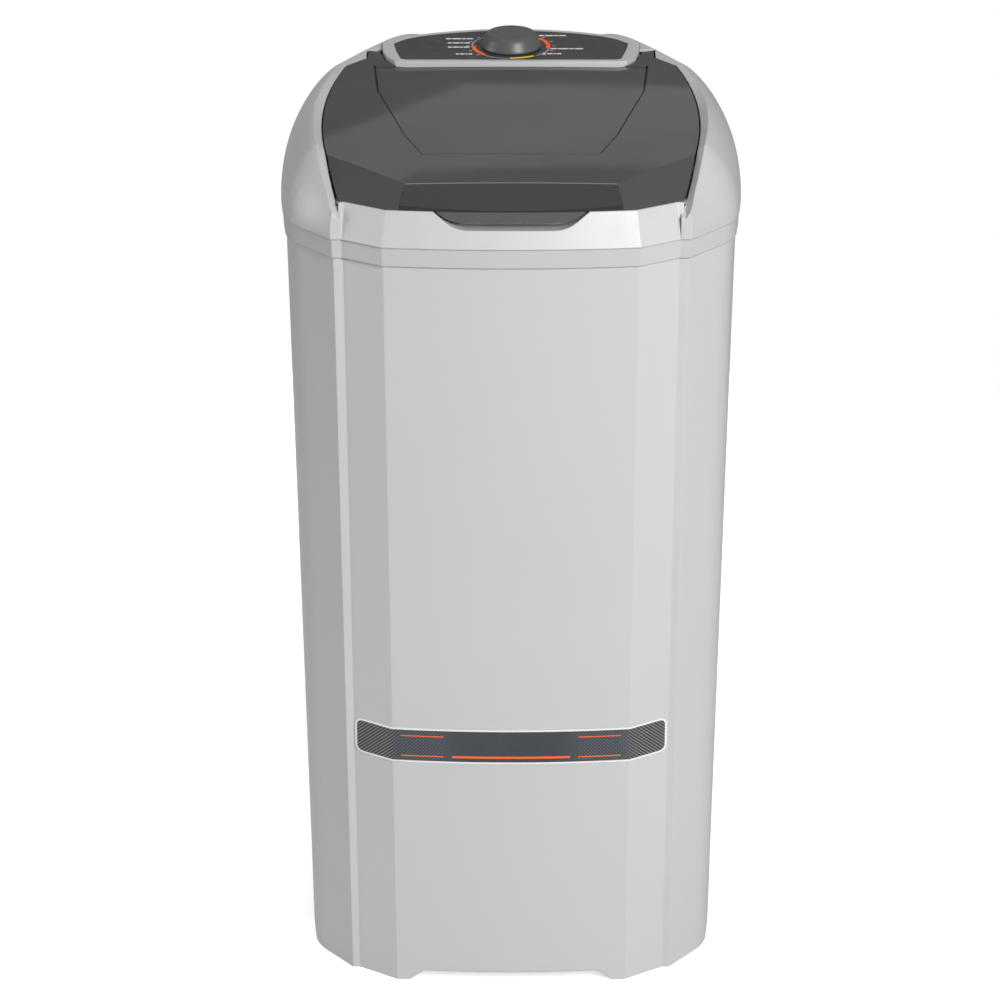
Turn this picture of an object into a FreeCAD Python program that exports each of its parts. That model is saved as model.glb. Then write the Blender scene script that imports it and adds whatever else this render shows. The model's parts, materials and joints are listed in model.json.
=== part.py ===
"""Semi-automatic top-loading washing machine. Millimetres, +Z up, the front faces -Y."""
import FreeCAD, Part
import math
import os
from FreeCAD import Placement, Rotation, Vector

# Plan of the cabinet at its top edge
FRONT_REACH = 265.5        # centre to the middle of the front panel, and to the rear wall
FRONT_HALF = 142.0         # half width of the front panel
FRONT_BOW = 8.5            # how far the front panel bows out
CORNER_ANGLE = 32.5        # corner facet against the front panel, degrees
CORNER_LENGTH = 54.0
STRIP_WIDTH = 11.0         # narrow facet between corner facet and side panel
SIDE_ANGLE = 50.5          # front part of the side panel, degrees
SIDE_LENGTH = 59.0
SIDE_RADIUS = 80.0
SIDE_BOW_ANGLE = 7.0       # side panel bulge, degrees
REAR_RADIUS = 60.0

# Heights of the outer shells
DRAFT = 13.3               # inset of the cabinet plan at the floor
BODY_TOP = 914.0           # lower edge of the tub's skirt
CABINET_TOP = 933.0
FLANGE = 3.0               # tub flange thickness
WALL = 3.0                 # moulded wall thickness
SEAM = 0.3                 # clearance between nested mouldings
SKIRT_PROUD = 3.0          # tub skirt outside the cabinet
LIP_PROUD = 5.0            # frame lip outside the cabinet
BASE_RING = 6.0            # thickness of the frame's base ring
BASE_RING_WIDTH = 23.0
BASE_RING_INSETS = (1.0, 2.5)   # base ring behind the skin, at its bottom and top
FOOT_ARCH = 14.0           # height of the arches between the feet
FOOT_ARCH_HALF = 123.0
FOOT_ARCH_SLANT = 18.0
SIDE_ARCH_HALF = 100.0
FOOT_PAD = 8.0             # thickness of the corner foot pads
FOOT_PAD_INNER_X = 128.0
FOOT_PAD_INNER_Y = 120.0

# Lid surface and top frame
LID_MID_Z = 1031.8         # lid top on the centre line at y = 0
LID_SLOPE = 0.118
LID_BEND = 0.00012
LID_HALF = 217.5           # widest half width of the lid opening
LID_CROWN = 3.0
CROWN_OUT = 22.5           # the crown's fall is measured this far outside the lid opening
CROWN_HALF = LID_HALF + CROWN_OUT
CROWN_STATIONS = (-300.0, -160.0, -20.0, 120.0, 260.0)   # where the crowned surface has its sections
LID_WALL = 3.0
LID_SKIRT = 10.0
LID_GAP = 1.8
LID_FRONT_Z = 975.0        # lower edge of the lid's apron
BAND_LEAN = 14.0           # how far the front band leans back
APRON_RISE = 26.0
APRON_RUN = 35.0
APRON_REACH = 105.0        # the sloping faces are trimmed this far behind the lid's front edges
APRON_BACK = 100.5 - FRONT_REACH   # apron and its lowered seat lie in front of this
LID_WIDEST_Y = -50.0
LID_CORNER_OUT = 11.0      # lid corner beyond the corner facet's end, along the facet
LID_TAPER = (196.0, FRONT_REACH - 157.5)   # the lid's sides turn inward here
EAR_OUT = 173.0            # half width of the lid opening at the hinge ears
EAR_FRONT = FRONT_REACH - 133.5   # the opening's sides are parallel behind this
EAR_GAP = 2.5              # opening behind the ears
RISER = 9.5                # wing crest above the lid edge
RISER_FRONT = 6.0
RISER_REAR = 1.0
RISER_WIDTH = 8.0
RISER_FULL_Y = -118.0      # the crest has its full rise from here
RISER_FADE_Y = -60.0       # and loses it from here
RISER_LOW_Y = 80.0         # to here
STRIP_BEND_Z = 966.0       # the wing's front strip bends back above this
STRIP_BEND_Y = 36.0 - FRONT_REACH
STRIP_TOP_Z = 1016.0       # and runs up to the crest here
STRIP_TOP_Y = 115.5 - FRONT_REACH
ARCH_LOW = 0.58            # fullness of the wing near the lip
ARCH_HIGH = 0.15           # fullness of the wing near the crest
REAR_DROP = 60.0           # radius of the rounded rear edge of the frame
REAR_RIBBON_HALF = 82.0    # half width of the flat between the wings at the rear edge
REAR_DROP_Y = FRONT_REACH - 65.5
REAR_DROP_SHARE = 0.88     # part of the quarter round that the rear edge runs through
WING_SIDE_STEP = 15.0      # spacing of the wing stations along the sides
WING_REAR_SHARES = (0.14, 0.27, 0.4, 0.52, 0.62, 0.71, 0.79, 0.86, 0.92, 0.965, 0.99)
CREST_WALL_SHARE = 0.4     # how far the crest moves outward as the wing is hollowed
RECESS_DEPTH = 1.5         # sunk field on the lid
RECESS_REAR_HALF = 162.0   # half width of the field at the console
RECESS_SIDE = ((155.5, 25.0), (121.0, -101.0), (100.0, -152.0))
RIM_WIDTH = 9.0            # ledge under the lid's edge
LEDGE_DROP = 1.5           # ledge below the lid's lower edge
BUMPER_Y = -120.0
BUMPER_RADIUS = 2.2
FRAME_SCREW_Y = (-100.0, 60.0)
FRAME_SCREW_REAR_X = 80.0
FRAME_SCREW = 1.6          # radius of the screws from the tub flange up into the frame
FRAME_SCREW_HOLE = 1.7
FRAME_SCREW_CLEAR = 2.1    # hole in the tub flange
FRAME_SCREW_HEAD = 4.0
FRAME_SCREW_END = 2.0      # solid plastic left above the screw's tip

# Finger scoop and tab
SCOOP_TOP_HALF = 87.0
SCOOP_BOTTOM_HALF = 62.0
SCOOP_BOTTOM_Z = 956.0
SCOOP_DEPTH = 27.0
SCOOP_ROUND = 14.0         # rounding of the lower corners of scoop and tab
ROUND_STEPS = 4
TAB_GAP = 4.0
TAB_BOTTOM_Z = 964.0
TAB_SETBACK = 0.5          # tab behind the band's face
TAB_FLARE = 0.3            # how much of the scoop's flare the tab's lower edge follows

# Console, knob and lid hinge
CONSOLE_FRONT_Y = FRONT_REACH - 161.5
CONSOLE_FRONT_HALF = 125.0
CONSOLE_CORNERS = ((138.0, 3.0), (147.5, 17.0), (153.4, 42.0))   # half width, distance behind the front edge
CONSOLE_HALF = 155.0
CONSOLE_SIDE_BACK = 68.0   # the sides are widest this far behind the front edge
CONSOLE_REAR_HALF = 147.5
CONSOLE_REAR_SIDE_BACK = 85.0
CONSOLE_DEPTH = 124.0      # to the middle of the bowed rear edge
CONSOLE_FRONT_Z = 1046.6
CONSOLE_TILT = 3.0         # degrees
CONSOLE_GAP = 2.6
OVERLAY = 0.8
OVERLAY_HALF = ((126.0, 7.4), (131.5, 11.0), (137.9, 42.0), (141.3, 68.0), (128.0, 84.5), (113.0, 94.5))
OVERLAY_DEPTH = 118.0      # front edge of the console to the overlay's bowed rear edge
CONSOLE_FLOOR_Z = 952.0
KNOB_Y = FRONT_REACH - 103.5
KNOB_RADIUS = 36.0
KNOB_TOP_RADIUS = 30.5
KNOB_HEIGHT = 17.0
KNOB_LIFT = 1.0
TIMER_SHAFT_RADIUS = 3.0
TIMER_SIZE = 54.0
TIMER_DEPTH = 32.0
HINGE_Y = FRONT_REACH - 115.5
HINGE_LUG = 6.5
PIN_RADIUS = 2.5
PIN_SEAT = 20.0            # length of the pin held in the console's boss
PIN_SHORT = 1.0            # pin end inside the lid's ear
NOTCH_CLEAR = 30.0         # lid notch runs out behind the hinge
TIMER_PLATE = 1.5
TIMER_EAR = 10.0
TIMER_COLLAR = 5.0
TIMER_COLLAR_HOLE = 5.5
OVERLAY_HOLE = 6.0
OVERLAY_RELIEF = 0.05      # overlay below the bezel
TIMER_SCREW = 1.7
TIMER_SCREW_HOLE = 1.8
TIMER_SCREW_HEAD = 3.2
TIMER_SCREW_CAP = 1.5
TIMER_SCREW_X = 31.0
TIMER_SCREW_END = 0.6      # console top left above the screw holes
TIMER_SHAFT_LOW = 21.5
KNOB_WALL = 2.5
KNOB_HUB = 7.0
KNOB_CAP = 4.0             # knob top above the shaft's end
KNOB_EDGE = 2.5
KNOB_FOOT = 2.0
KNOB_CROWN = 2.5
KNOB_CROWN_SHARES = (0.55, 0.72)   # a point on the crown: share of its radius and of its rise
FIT = 0.05                 # radial running fit of pins and shafts

# Front strip, rear cover
STRIP_Z = 297.0
STRIP_HEIGHT = 44.5
STRIP_HALF = 184.0
STRIP_THICK = 0.8
STRIP_CORNER = 9.0
COVER_HALF = 150.0
COVER_BOTTOM = 60.0
COVER_TOP = 340.0
COVER_LAP = 14.0
SLOT_COUNT = 7
SLOT_PITCH = 18.0
SLOT_HEIGHT = 6.0
SLOT_HALF = 70.0
SLOT_BOTTOM = 190.0
COVER_SCREW = 1.5
COVER_SCREW_HOLE = 1.6
COVER_SCREW_LENGTH = 12.0
COVER_SCREW_HEAD = 3.5
COVER_SCREW_CAP = 2.0

# Tub and agitator
TUB_HALF = 205.0
TUB_FRONT = FRONT_REACH - 43.5
TUB_REAR = FRONT_REACH - 65.5
TUB_CORNER = 105.0
TUB_TAPER = 22.0
TUB_FLOOR = 330.0
TUB_CHAMFER = 30.0
AGITATOR_SHARE = 0.75      # agitator radius against the tub's reach to the rear
AGITATOR_RADIUS = AGITATOR_SHARE * TUB_REAR
AGITATOR_LIFT = 14.0       # disc above the tub floor
AGITATOR_DISC = 5.0
AGITATOR_HUB = 70.0
VANE_COUNT = 6
VANE_HEIGHT = 26.0
VANE_THICK = 10.0
VANE_INSET = 4.0           # vane foot inside the disc's edge
VANE_TIP_INSET = 10.0
VANE_TIP_SHARE = 0.6       # vane height at its outer end
HUB_SHARE = 0.45           # hub radius against hub height
SCREW_WELL = 11.0          # radius of the hub's hollow over the shaft
SHAFT_REACH = 40.0         # shaft end above the disc
CAP_DOME = 6.0
CAP_EDGE = 4.0
CAP_PLUG = 10.0
CAP_PLUG_RADIUS = 10.9
CAP_PLUG_BORE = 9.5
AGITATOR_FOOT = 3.0        # hub below the disc
AGITATOR_SCREW = 3.0
AGITATOR_SCREW_HEAD = 9.0
AGITATOR_SCREW_CAP = 6.0
AGITATOR_SCREW_LENGTH = 18.0
AGITATOR_SCREW_HOLE = 20.0

# Drive
SHAFT_RADIUS = 7.0
HOUSING_RADIUS = 23.0
HOUSING_FLANGE = 55.0
HOUSING_BOTTOM = 205.0
BUSH_RADIUS = 13.0
BUSH_LENGTH = 24.0
SEAL_RADIUS = 15.0
SEAL_LENGTH = 9.0
SEAL_STAND = 8.0           # seal top above the tub floor
HOUSING_PLATE = 6.0
HOUSING_BOLT_INSET = 9.0
SHAFT_ROOM = 1.5           # housing bore outside the shaft between the bushes
MOTOR_Y = FRONT_REACH - 115.5
GROOVE_DEPTH = 9.0
MOTOR_PULLEY_RADIUS = 31.0
MOTOR_PULLEY_GROOVE = MOTOR_PULLEY_RADIUS - GROOVE_DEPTH
PULLEY_ROOM = 19.0         # between the rims of the two pulleys
PULLEY_RADIUS = MOTOR_Y - MOTOR_PULLEY_RADIUS - PULLEY_ROOM
PULLEY_GROOVE = PULLEY_RADIUS - GROOVE_DEPTH
PULLEY_WIDTH = 16.0
PULLEY_Z = 181.0
BELT_WIDTH = 8.0
BELT_THICK = 6.0
SPOKE_HOLES = 5
SPOKE_LAND = 22.0          # web left between each spoke hole and the hub or the groove
SPOKE_HOLE_RADIUS = (PULLEY_GROOVE - SHAFT_RADIUS) / 2 - SPOKE_LAND
PULLEY_SPACER = 5.0
PULLEY_NUT = 8.0
PULLEY_NUT_RADIUS = 12.0
SHAFT_TAIL = 12.0          # shaft end under the driven pulley
MOTOR_RADIUS = 60.0
MOTOR_BOTTOM = 212.0
MOTOR_TOP = 300.0
MOTOR_SHIELD = 14.0
MOTOR_SHAFT_RADIUS = 6.0
MOTOR_BEARING_RADIUS = 16.0
MOTOR_BEARING = 9.0
MOTOR_SHAFT_ROOM = 3.0
ROTOR_SHARE = 0.6          # stator bore against the motor's radius
ROTOR_GAP = 0.5
ROTOR_END = 4.0
BRACKET = 3.0
BRACKET_HALF = 82.0
BRACKET_BOLTS_AHEAD = (18.0, 86.0)   # bolts in front of the motor's axis, under the tub floor
BRACKET_BOLT_INSET = 12.0
BRACKET_FRONT = 98.0
BRACKET_REAR = 86.0
BRACKET_WING = 45.0        # left extension that carries the capacitor
GROMMET = 5.0
GROMMET_SHARE = 2.6        # grommet radius against the bolt's
CAPACITOR_X = -105.0
CAPACITOR_RADIUS = 19.0
CAPACITOR_LENGTH = 66.0
CAPACITOR_CLIP = 2.0
CLIP_LOW = 30.0
CLIP_HEIGHT = 14.0
CLIP_TAB = 8.0
CLIP_OVERLAP = 0.5
TERMINAL_HALF_X = 20.0
TERMINAL_HALF_Y = 9.0
TERMINAL_HEIGHT = 18.0
BOLT_RADIUS = 3.0
HEAD = 3.0                 # screw and bolt head height

# Drain, wiring, filter
DRAIN_INSET = 25.5         # drain inside the middle between motor bracket and tub side
DRAIN_X = (BRACKET_HALF + TUB_HALF) / 2 - DRAIN_INSET
DRAIN_Y = FRONT_REACH - 170.5
DRAIN_BEND = 55.0
DRAIN_Z = 105.0            # height of the outlet spigot
HOSE_RADIUS = 15.0
HOSE_BORE = 12.0
SPIGOT_RADIUS = 12.5
SPIGOT_BORE = 10.0
SPIGOT_NECK = 1.5          # thicker neck of the spigot through the rear cover
SPIGOT_NECK_OUT = 0.5
SPIGOT_TAIL = 24.0         # length of the spigot's inner tail, for the hose
SPIGOT_INSIDE = 30.0
SPIGOT_COLLAR = 4.0
HOSE_ON_TAIL = 22.0
CLAMP = 1.5
CLAMP_WIDTH = 9.0
CLAMP_UPPER = 8.0
CLAMP_LOWER = 7.0
FITTING_TAIL = 38.0
FITTING_FLANGE = 12.0
FITTING_PLATE = 4.0
STRAINER_RIM = 8.0
STRAINER = 2.5
STRAINER_HOLES = 8
STRAINER_HOLE = 2.0
STRAINER_RING = 7.0
HARNESS_RADIUS = 4.0
HARNESS_X = -75.0
HARNESS_Y = FRONT_REACH - 29.5
HARNESS_BEND = 22.0
HARNESS_ROOM = 2.0         # holes for the harness outside its radius
HARNESS_LIFT = 14.0        # harness above the timer compartment's floor
HARNESS_START_Y = 10.0
HARNESS_CLIP_Z = (450.0, 640.0, 830.0)
HARNESS_CLIP = 2.0
HARNESS_CLIP_WIDTH = 10.0
HARNESS_CLIP_ARM = 3.0
GLAND_X = -110.0
GLAND_Z = 110.0
CORD_HOLE = 4.0
GLAND_BARREL = 14.0
GLAND_FLANGE = 6.0
FILTER_WIDTH = 90.0
FILTER_HEIGHT = 130.0
FILTER_DEPTH = 8.0
FILTER_Z = 620.0
FILTER_RAIL = 3.0
FILTER_BACK = 2.0
FILTER_LIP = 4.0
FILTER_BORDER = 9.0
FILTER_MESH = 1.0
HOLDER_SHARE = 0.6         # holder height against the filter's

FLANGE_TOP = CABINET_TOP + FLANGE
BIG = 700.0


# Geometry helpers


def line(a, b):
    return Part.LineSegment(a, b).toShape()


def arc(a, middle, b):
    return Part.Arc(a, middle, b).toShape()


def box(x0, x1, y0, y1, z0, z1):
    return Part.makeBox(x1 - x0, y1 - y0, z1 - z0, Vector(x0, y0, z0))


def rod(radius, base, axis, length):
    return Part.makeCylinder(radius, length, base, axis)


def tube(radius, bore, base, axis, length):
    return rod(radius, base, axis, length).cut(rod(bore, base, axis, length))


def upright(radius, x, y, z0, z1):
    return rod(radius, Vector(x, y, z0), Vector(0, 0, 1), z1 - z0)


def polygon_prism(points, direction):
    closed = points + points[:1]
    return Part.Face(Part.makePolygon(closed)).extrude(direction)


def plan_prism(points, z0, z1):
    return polygon_prism([Vector(x, y, z0) for x, y in points], Vector(0, 0, z1 - z0))


def mirrored_plan(half):
    return list(half) + [(-x, y) for x, y in reversed(half)]


def side_prism(points, half):
    """Prism across X from a (y, z) polygon."""
    return polygon_prism([Vector(-half, y, z) for y, z in points], Vector(2 * half, 0, 0))


def front_prism(points, y0, y1):
    """Prism along Y from an (x, z) polygon."""
    return polygon_prism([Vector(x, y0, z) for x, z in points], Vector(0, y1 - y0, 0))


def revolve(points):
    """Solid of revolution about Z from an (r, z) polygon."""
    outline = [Vector(r, 0, z) for r, z in points]
    return Part.Face(Part.makePolygon(outline + outline[:1])).revolve(Vector(), Vector(0, 0, 1), 360)


def ring_spots(count, radius, start=0.0):
    """Points spread evenly round a circle about the origin."""
    angles = [math.radians(start + 360.0 * i / count) for i in range(count)]
    return [(radius * math.cos(a), radius * math.sin(a)) for a in angles]


def fuse_all(shapes):
    return shapes[0].multiFuse(shapes[1:]) if len(shapes) > 1 else shapes[0]


def both_sides(shape):
    return Part.makeCompound([shape, shape.mirror(Vector(), Vector(1, 0, 0))])


def circle_centre(a, m, b):
    centre = arc(Vector(*a, 0), Vector(*m, 0), Vector(*b, 0)).Curve.Center
    return centre.x, centre.y


class Outline:
    """Closed plan symmetric about x = 0, given as its right half from the front to the rear."""

    def __init__(self, points, mids, front_mid=None):
        self.points = points
        self.mids = mids
        self.front_mid = front_mid

    def normals(self, a, b, m):
        dx, dy = b[0] - a[0], b[1] - a[1]
        length = math.hypot(dx, dy)
        flat = (dy / length, -dx / length)
        if m is None:
            return flat, flat, flat
        cx, cy = circle_centre(a, m, b)
        found = []
        for px, py in (a, m, b):
            nx, ny = px - cx, py - cy
            size = math.hypot(nx, ny)
            sign = 1 if nx * flat[0] + ny * flat[1] > 0 else -1
            found.append((sign * nx / size, sign * ny / size))
        return found

    def offset(self, grow):
        """The same outline moved outward by grow."""
        first = self.points[0]
        last = self.points[-1]
        arriving = self.normals((-first[0], first[1]), first, self.front_mid)[2]
        new_points = []
        new_mids = {}
        for i, p in enumerate(self.points):
            if p is last:
                leaving = next_arriving = (0.0, 1.0)
            else:
                middle = self.mids.get(i)
                leaving, across, next_arriving = self.normals(p, self.points[i + 1], middle)
                if middle:
                    new_mids[i] = (middle[0] + grow * across[0], middle[1] + grow * across[1])
            share = grow / (1 + arriving[0] * leaving[0] + arriving[1] * leaving[1])
            new_points.append((p[0] + share * (arriving[0] + leaving[0]),
                               p[1] + share * (arriving[1] + leaving[1])))
            arriving = next_arriving
        front = (0.0, self.front_mid[1] - grow) if self.front_mid else None
        return Outline(new_points, new_mids, front)

    def wire(self, grow, z):
        shape = self.offset(grow)
        half = []
        for i in range(len(shape.points) - 1):
            a, b = shape.points[i], shape.points[i + 1]
            half.append((a, shape.mids.get(i), b))
        first, last = shape.points[0], shape.points[-1]
        loop = half + [(last, None, (-last[0], last[1]))]
        for a, m, b in reversed(half):
            middle = (-m[0], m[1]) if m else None
            loop.append(((-b[0], b[1]), middle, (-a[0], a[1])))
        loop.append(((-first[0], first[1]), shape.front_mid, first))
        edges = []
        for a, m, b in loop:
            if m:
                edges.append(arc(Vector(*a, z), Vector(*m, z), Vector(*b, z)))
            else:
                edges.append(line(Vector(*a, z), Vector(*b, z)))
        return Part.Wire(edges)

    def prism(self, grow, z0, z1):
        return Part.Face(self.wire(grow, z0)).extrude(Vector(0, 0, z1 - z0))

    def loft(self, *levels):
        """Ruled solid through (grow, z) levels."""
        return Part.makeLoft([self.wire(grow, z) for grow, z in levels], True, True)

    def half_width(self, grow, y):
        edge = line(Vector(0, y, 0), Vector(BIG, y, 0))
        hits = self.wire(grow, 0).distToShape(edge)[1]
        return max(hit[1].x for hit in hits)


def turn(start, heading, length):
    return (start[0] + length * math.cos(heading), start[1] + length * math.sin(heading))


def bend(start, heading, end_heading, radius):
    """Middle and end of an arc that turns left from heading to end_heading."""
    centre = (start[0] - radius * math.sin(heading), start[1] + radius * math.cos(heading))
    middle = (heading + end_heading) / 2
    return tuple((centre[0] + radius * math.sin(h), centre[1] - radius * math.cos(h))
                 for h in (middle, end_heading))


def cabinet_outline():
    side = math.radians(SIDE_ANGLE)
    bow = math.radians(90 - SIDE_BOW_ANGLE)
    p1 = (FRONT_HALF, -FRONT_REACH + FRONT_BOW)
    p2 = turn(p1, math.radians(CORNER_ANGLE), CORNER_LENGTH)
    p3 = (p2[0] + STRIP_WIDTH, p2[1])
    p4 = turn(p3, side, SIDE_LENGTH)
    m4, p5 = bend(p4, side, bow, SIDE_RADIUS)
    bulge = -p5[1] * math.tan((math.pi / 2 - bow) / 2)
    m5 = (p5[0] + bulge, 0.0)
    p6, p7 = (p5[0], -p5[1]), (p4[0], -p4[1])
    corner_rise = REAR_RADIUS * (1 - math.cos(side))
    run = (FRONT_REACH - corner_rise - p7[1]) / math.sin(side)
    p8 = turn(p7, math.pi - side, run)
    m8, p9 = bend(p8, math.pi - side, math.pi, REAR_RADIUS)
    mids = {3: m4, 4: m5, 5: (m4[0], -m4[1]), 7: m8}
    return Outline([p1, p2, p3, p4, p5, p6, p7, p8, p9], mids, (0.0, -FRONT_REACH))


def tub_outline():
    r = TUB_CORNER
    diagonal = r * (1 - math.sqrt(0.5))
    points = [(TUB_HALF - r, -TUB_FRONT), (TUB_HALF, -TUB_FRONT + r), (TUB_HALF, TUB_REAR - r),
              (TUB_HALF - r, TUB_REAR)]
    mids = {0: (TUB_HALF - diagonal, -TUB_FRONT + diagonal), 2: (TUB_HALF - diagonal, TUB_REAR - diagonal)}
    return Outline(points, mids)


PLAN = cabinet_outline()
TUB = tub_outline()
LID_FRONT_GROW = LIP_PROUD - BAND_LEAN
EAR_REAR = HINGE_Y + HINGE_LUG + EAR_GAP


def lid_outline():
    """Opening for the lid: front panel, corner facets and rounded sides back to the hinge ears."""
    front = PLAN.offset(LID_FRONT_GROW)
    corner = turn(front.points[1], math.radians(CORNER_ANGLE), LID_CORNER_OUT)
    points = [front.points[0], corner, LID_TAPER, (EAR_OUT, EAR_FRONT), (EAR_OUT, EAR_REAR)]
    return Outline(points, {1: (LID_HALF, LID_WIDEST_Y)}, front.front_mid)


LID = lid_outline()


def lid_height(y):
    return LID_MID_Z + LID_SLOPE * y - LID_BEND * y * y


def top_height(y):
    """Lid surface on the centre line, rounded down behind the console."""
    back = y - REAR_DROP_Y
    if back <= 0:
        return lid_height(y)
    reach = FRONT_REACH + LIP_PROUD - REAR_DROP_Y
    share = REAR_DROP_SHARE * back / reach
    return lid_height(REAR_DROP_Y) - REAR_DROP * (1 - math.sqrt(1 - share * share))


def under_lid(drop):
    """Everything under the lid's crowned top surface, lowered by drop."""
    sections = []
    low = CABINET_TOP - WALL
    for y in CROWN_STATIONS:
        top = lid_height(y) - drop
        left = Vector(-CROWN_HALF, y, top - LID_CROWN)
        right = Vector(CROWN_HALF, y, top - LID_CROWN)
        corners = Vector(CROWN_HALF, y, low), Vector(-CROWN_HALF, y, low)
        sections.append(Part.Wire([arc(left, Vector(0, y, top), right), line(right, corners[0]),
                                   line(corners[0], corners[1]), line(corners[1], left)]))
    return Part.makeLoft(sections, True, False)


def lid_floor(drop):
    """Everything lower than the lid's lower edge by drop, stepped down under the apron."""
    front = box(-BIG, BIG, -BIG, APRON_BACK, LID_FRONT_Z - drop, LID_FRONT_Z + BIG)
    return under_lid(LID_SKIRT + drop).cut(front)


def under_panel(drop):
    """Everything under the console's tilted top plane, lowered by drop."""
    rise = math.tan(math.radians(CONSOLE_TILT))
    front = CONSOLE_FRONT_Z - drop
    y0, y1 = CONSOLE_FRONT_Y - WALL, CONSOLE_FRONT_Y + CONSOLE_DEPTH + WALL
    points = [(y0, CABINET_TOP), (y1, CABINET_TOP), (y1, front + rise * (y1 - CONSOLE_FRONT_Y)),
              (y0, front + rise * (y0 - CONSOLE_FRONT_Y))]
    return side_prism(points, CROWN_HALF)


def bowed_prism(half, rear_y, grow, z0, z1):
    """Prism from a right half plan, front to rear, closed behind by an arc and moved outward by grow."""
    loop = [Vector(-x, y, z0) for x, y in reversed(half)] + [Vector(x, y, z0) for x, y in half]
    edges = [line(a, b) for a, b in zip(loop, loop[1:])]
    edges.append(arc(loop[-1], Vector(0, rear_y, z0), loop[0]))
    wire = Part.Wire(edges)
    if grow:
        wire = wire.makeOffset2D(grow, join=2)
    return Part.Face(wire).extrude(Vector(0, 0, z1 - z0))


def console_prism(grow, z0, z1):
    sides = (CONSOLE_HALF, CONSOLE_SIDE_BACK), (CONSOLE_REAR_HALF, CONSOLE_REAR_SIDE_BACK)
    half = [(x, CONSOLE_FRONT_Y + back) for x, back in ((CONSOLE_FRONT_HALF, 0), *CONSOLE_CORNERS, *sides)]
    return bowed_prism(half, CONSOLE_FRONT_Y + CONSOLE_DEPTH, grow, z0, z1)


def overlay_prism(grow, z0, z1):
    half = [(x, CONSOLE_FRONT_Y + back) for x, back in OVERLAY_HALF]
    return bowed_prism(half, CONSOLE_FRONT_Y + OVERLAY_DEPTH, grow, z0, z1)


def panel_frame():
    """Placement whose Z is the console's top normal, at the knob."""
    rise = math.tan(math.radians(CONSOLE_TILT)) * (KNOB_Y - CONSOLE_FRONT_Y)
    return Placement(Vector(0, KNOB_Y, CONSOLE_FRONT_Z + rise), Rotation(Vector(1, 0, 0), CONSOLE_TILT))


def on_panel(shape):
    shape.Placement = panel_frame()
    return shape


HINGE_Z = lid_height(HINGE_Y) - HINGE_LUG - LID_CROWN / 2
HARNESS_LEVEL = CONSOLE_FLOOR_Z + HARNESS_LIFT


# Outer shells


def cabinet_solid(grow):
    return PLAN.loft((grow - DRAFT, 0.0), (grow, BODY_TOP), (grow, CABINET_TOP))


def foot_arches():
    slant = [(FOOT_ARCH_HALF, -WALL), (FOOT_ARCH_HALF, 0), (FOOT_ARCH_HALF - FOOT_ARCH_SLANT, FOOT_ARCH)]
    ends = front_prism(mirrored_plan(slant), -BIG, BIG)
    side = [(SIDE_ARCH_HALF, -WALL), (SIDE_ARCH_HALF, 0), (SIDE_ARCH_HALF - FOOT_ARCH_SLANT, FOOT_ARCH)]
    sides = side_prism(mirrored_plan(side), BIG)
    return ends.fuse(sides)


def foot_pads():
    pads = []
    for sx in (-1, 1):
        for sy in (-1, 1):
            xs = sorted((sx * FOOT_PAD_INNER_X, sx * BIG))
            ys = sorted((sy * FOOT_PAD_INNER_Y, sy * BIG))
            pads.append(cabinet_solid(-WALL / 2).common(box(*xs, *ys, 0, FOOT_PAD)))
    return pads


def cover_window(lap):
    return box(-COVER_HALF + lap, COVER_HALF - lap, 0, BIG, COVER_BOTTOM + lap, COVER_TOP - lap)


def cover_screw_spots():
    inset = COVER_LAP / 2
    heights = (COVER_BOTTOM + inset, (COVER_BOTTOM + COVER_TOP) / 2, COVER_TOP - inset)
    return [(sx * (COVER_HALF - inset), z) for sx in (-1, 1) for z in heights]


def rear_wall_y(z, grow=0.0):
    return FRONT_REACH + grow - DRAFT * (1 - z / BODY_TOP)


def make_cabinet():
    shell = cabinet_solid(0).cut(cabinet_solid(-WALL)).cut(foot_arches())
    shell = shell.cut(cover_window(COVER_LAP))
    for x, z in cover_screw_spots():
        shell = shell.cut(rod(COVER_SCREW_HOLE, Vector(x, 0, z), Vector(0, 1, 0), BIG))
    return fuse_all([shell] + foot_pads())


def make_rear_cover():
    plate = cabinet_solid(WALL).cut(cabinet_solid(0)).common(cover_window(0))
    for i in range(SLOT_COUNT):
        z = SLOT_BOTTOM + i * SLOT_PITCH
        plate = plate.cut(box(-SLOT_HALF, SLOT_HALF, 0, BIG, z, z + SLOT_HEIGHT))
    for x, z in cover_screw_spots():
        plate = plate.cut(rod(COVER_SCREW_HOLE, Vector(x, 0, z), Vector(0, 1, 0), BIG))
    plate = plate.cut(rod(SPIGOT_RADIUS + SPIGOT_NECK, Vector(DRAIN_X, 0, DRAIN_Z), Vector(0, 1, 0), BIG))
    return plate.cut(rod(CORD_HOLE * 2, Vector(GLAND_X, 0, GLAND_Z), Vector(0, 1, 0), BIG))


def make_rear_cover_screws():
    screws = []
    for x, z in cover_screw_spots():
        face = rear_wall_y(z, WALL) + SEAM
        shank = rod(COVER_SCREW, Vector(x, face - COVER_SCREW_LENGTH, z), Vector(0, 1, 0), COVER_SCREW_LENGTH)
        head = rod(COVER_SCREW_HEAD, Vector(x, face, z), Vector(0, 1, 0), COVER_SCREW_CAP)
        screws.append(shank.fuse(head))
    return Part.makeCompound(screws)


def make_front_strip():
    ring = cabinet_solid(SEAM + STRIP_THICK).cut(cabinet_solid(SEAM))
    window = box(-STRIP_HALF, STRIP_HALF, -BIG, 0, STRIP_Z, STRIP_Z + STRIP_HEIGHT)
    corners = [edge for edge in window.Edges if abs(edge.tangentAt(edge.FirstParameter).y) > 0.5]
    return ring.common(window.makeFillet(STRIP_CORNER, corners))


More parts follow.
